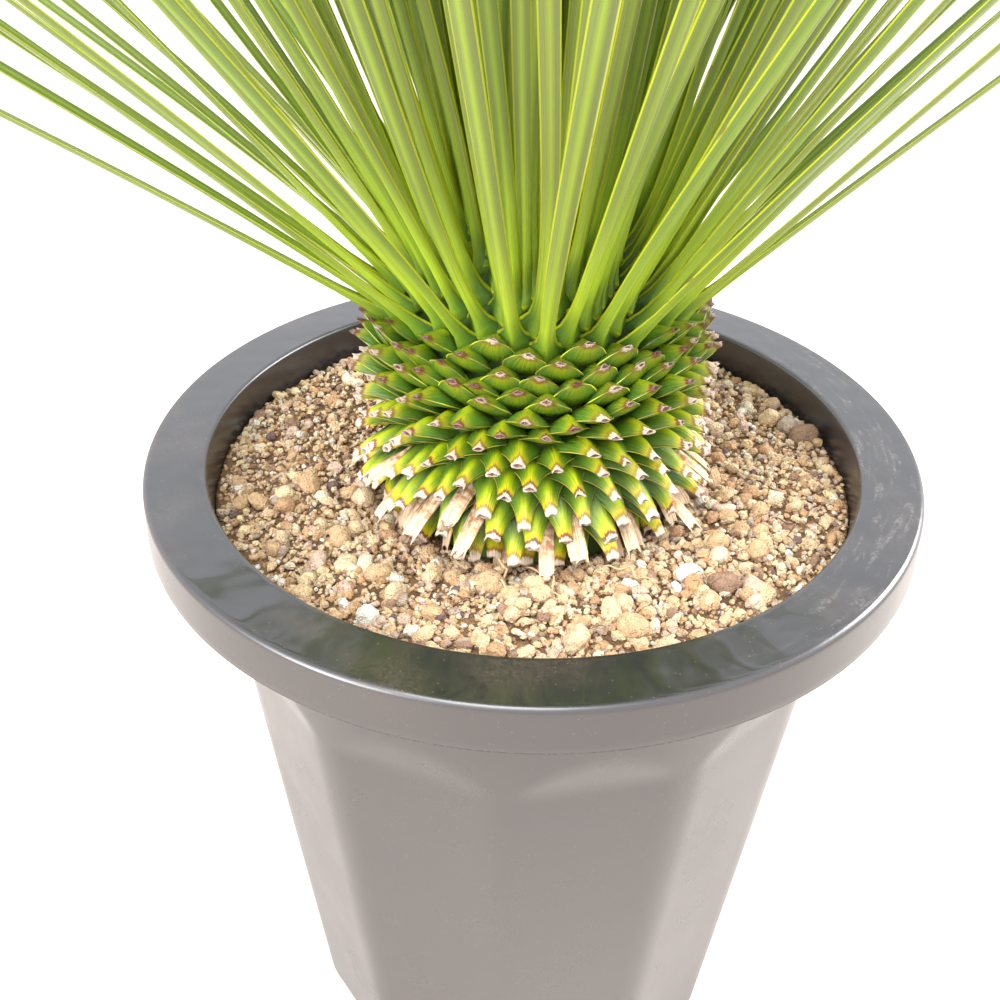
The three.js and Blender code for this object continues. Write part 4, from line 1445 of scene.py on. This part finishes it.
class YUCCA_OT_stage(bpy.types.Operator):
    """Make the floor, the lights and the camera"""

    bl_idname = "yucca.stage"
    bl_label = "Stage"

    def execute(self, context):
        make_stage(context.scene.yucca_stage)
        return {"FINISHED"}


class YUCCA_OT_pot(bpy.types.Operator):
    """Make the nursery pot"""

    bl_idname = "yucca.pot"
    bl_label = "Pot"

    def execute(self, context):
        finished_piece(make_pot(context.scene.yucca_pot), "pot_plastic", "pot")
        return {"FINISHED"}


class YUCCA_OT_soil(bpy.types.Operator):
    """Make the soil's bulk"""

    bl_idname = "yucca.soil"
    bl_label = "Soil"

    def execute(self, context):
        finished_piece(make_soil_bed(context.scene.yucca_soil), "gravel_soil", "soil")
        return {"FINISHED"}


class YUCCA_OT_gravel(bpy.types.Operator):
    """Strew grit, grains and clods over the soil"""

    bl_idname = "yucca.gravel"
    bl_label = "Gravel"

    def execute(self, context):
        for piece in make_gravel(context.scene.yucca_soil):
            finished_piece(piece, "gravel_soil")
        return {"FINISHED"}


class YUCCA_OT_trunk(bpy.types.Operator):
    """Make the trunk and its trimmed leaf bases"""

    bl_idname = "yucca.trunk"
    bl_label = "Trunk"

    def execute(self, context):
        finished_piece(make_trunk(context.scene.yucca_trunk), "leaf_bases", "trunk")
        return {"FINISHED"}


class YUCCA_OT_leaves(bpy.types.Operator):
    """Make the crown of live leaves"""

    bl_idname = "yucca.leaves"
    bl_label = "Leaves"

    def execute(self, context):
        finished_piece(make_leaves(context.scene.yucca_leaf), "leaves", "leaf_crown")
        return {"FINISHED"}


class YUCCA_OT_strands(bpy.types.Operator):
    """Lay dry strands on the soil"""

    bl_idname = "yucca.strands"
    bl_label = "Dry strands"

    def execute(self, context):
        finished_piece(make_strands(context.scene.yucca_soil), "gravel_soil")
        return {"FINISHED"}


OPERATORS = (YUCCA_OT_stage, YUCCA_OT_pot, YUCCA_OT_soil, YUCCA_OT_gravel, YUCCA_OT_trunk, YUCCA_OT_leaves,
             YUCCA_OT_strands)
LOOKS = {"yucca_pot": PotLook, "yucca_soil": SoilLook, "yucca_trunk": TrunkLook, "yucca_leaf": LeafLook,
         "yucca_stage": StageLook}


class YUCCA_PT_panel(bpy.types.Panel):
    """The yucca's sizes, colours and pieces"""

    bl_idname = "YUCCA_PT_panel"
    bl_label = "Potted yucca"
    bl_space_type = "VIEW_3D"
    bl_region_type = "UI"
    bl_category = "Yucca"

    def draw(self, context):
        for key, look in LOOKS.items():
            box = self.layout.box()
            box.label(text=look.__doc__.rstrip("."))
            for name in look.__annotations__:
                box.prop(getattr(context.scene, key), name)
        for operator in OPERATORS:
            self.layout.operator(operator.bl_idname)


def register():
    for key, look in LOOKS.items():
        bpy.utils.register_class(look)
        setattr(bpy.types.Scene, key, PointerProperty(type=look))
    for shown in (*OPERATORS, YUCCA_PT_panel):
        bpy.utils.register_class(shown)


def unregister():
    for shown in (YUCCA_PT_panel, *reversed(OPERATORS)):
        bpy.utils.unregister_class(shown)
    for key, look in LOOKS.items():
        delattr(bpy.types.Scene, key)
        bpy.utils.unregister_class(look)


def main():
    register()
    bpy.ops.yucca.stage()
    bpy.ops.yucca.pot()
    bpy.ops.yucca.soil()
    bpy.ops.yucca.gravel()
    bpy.ops.yucca.trunk()
    bpy.ops.yucca.leaves()
    bpy.ops.yucca.strands()


if __name__ == "__main__":
    main()
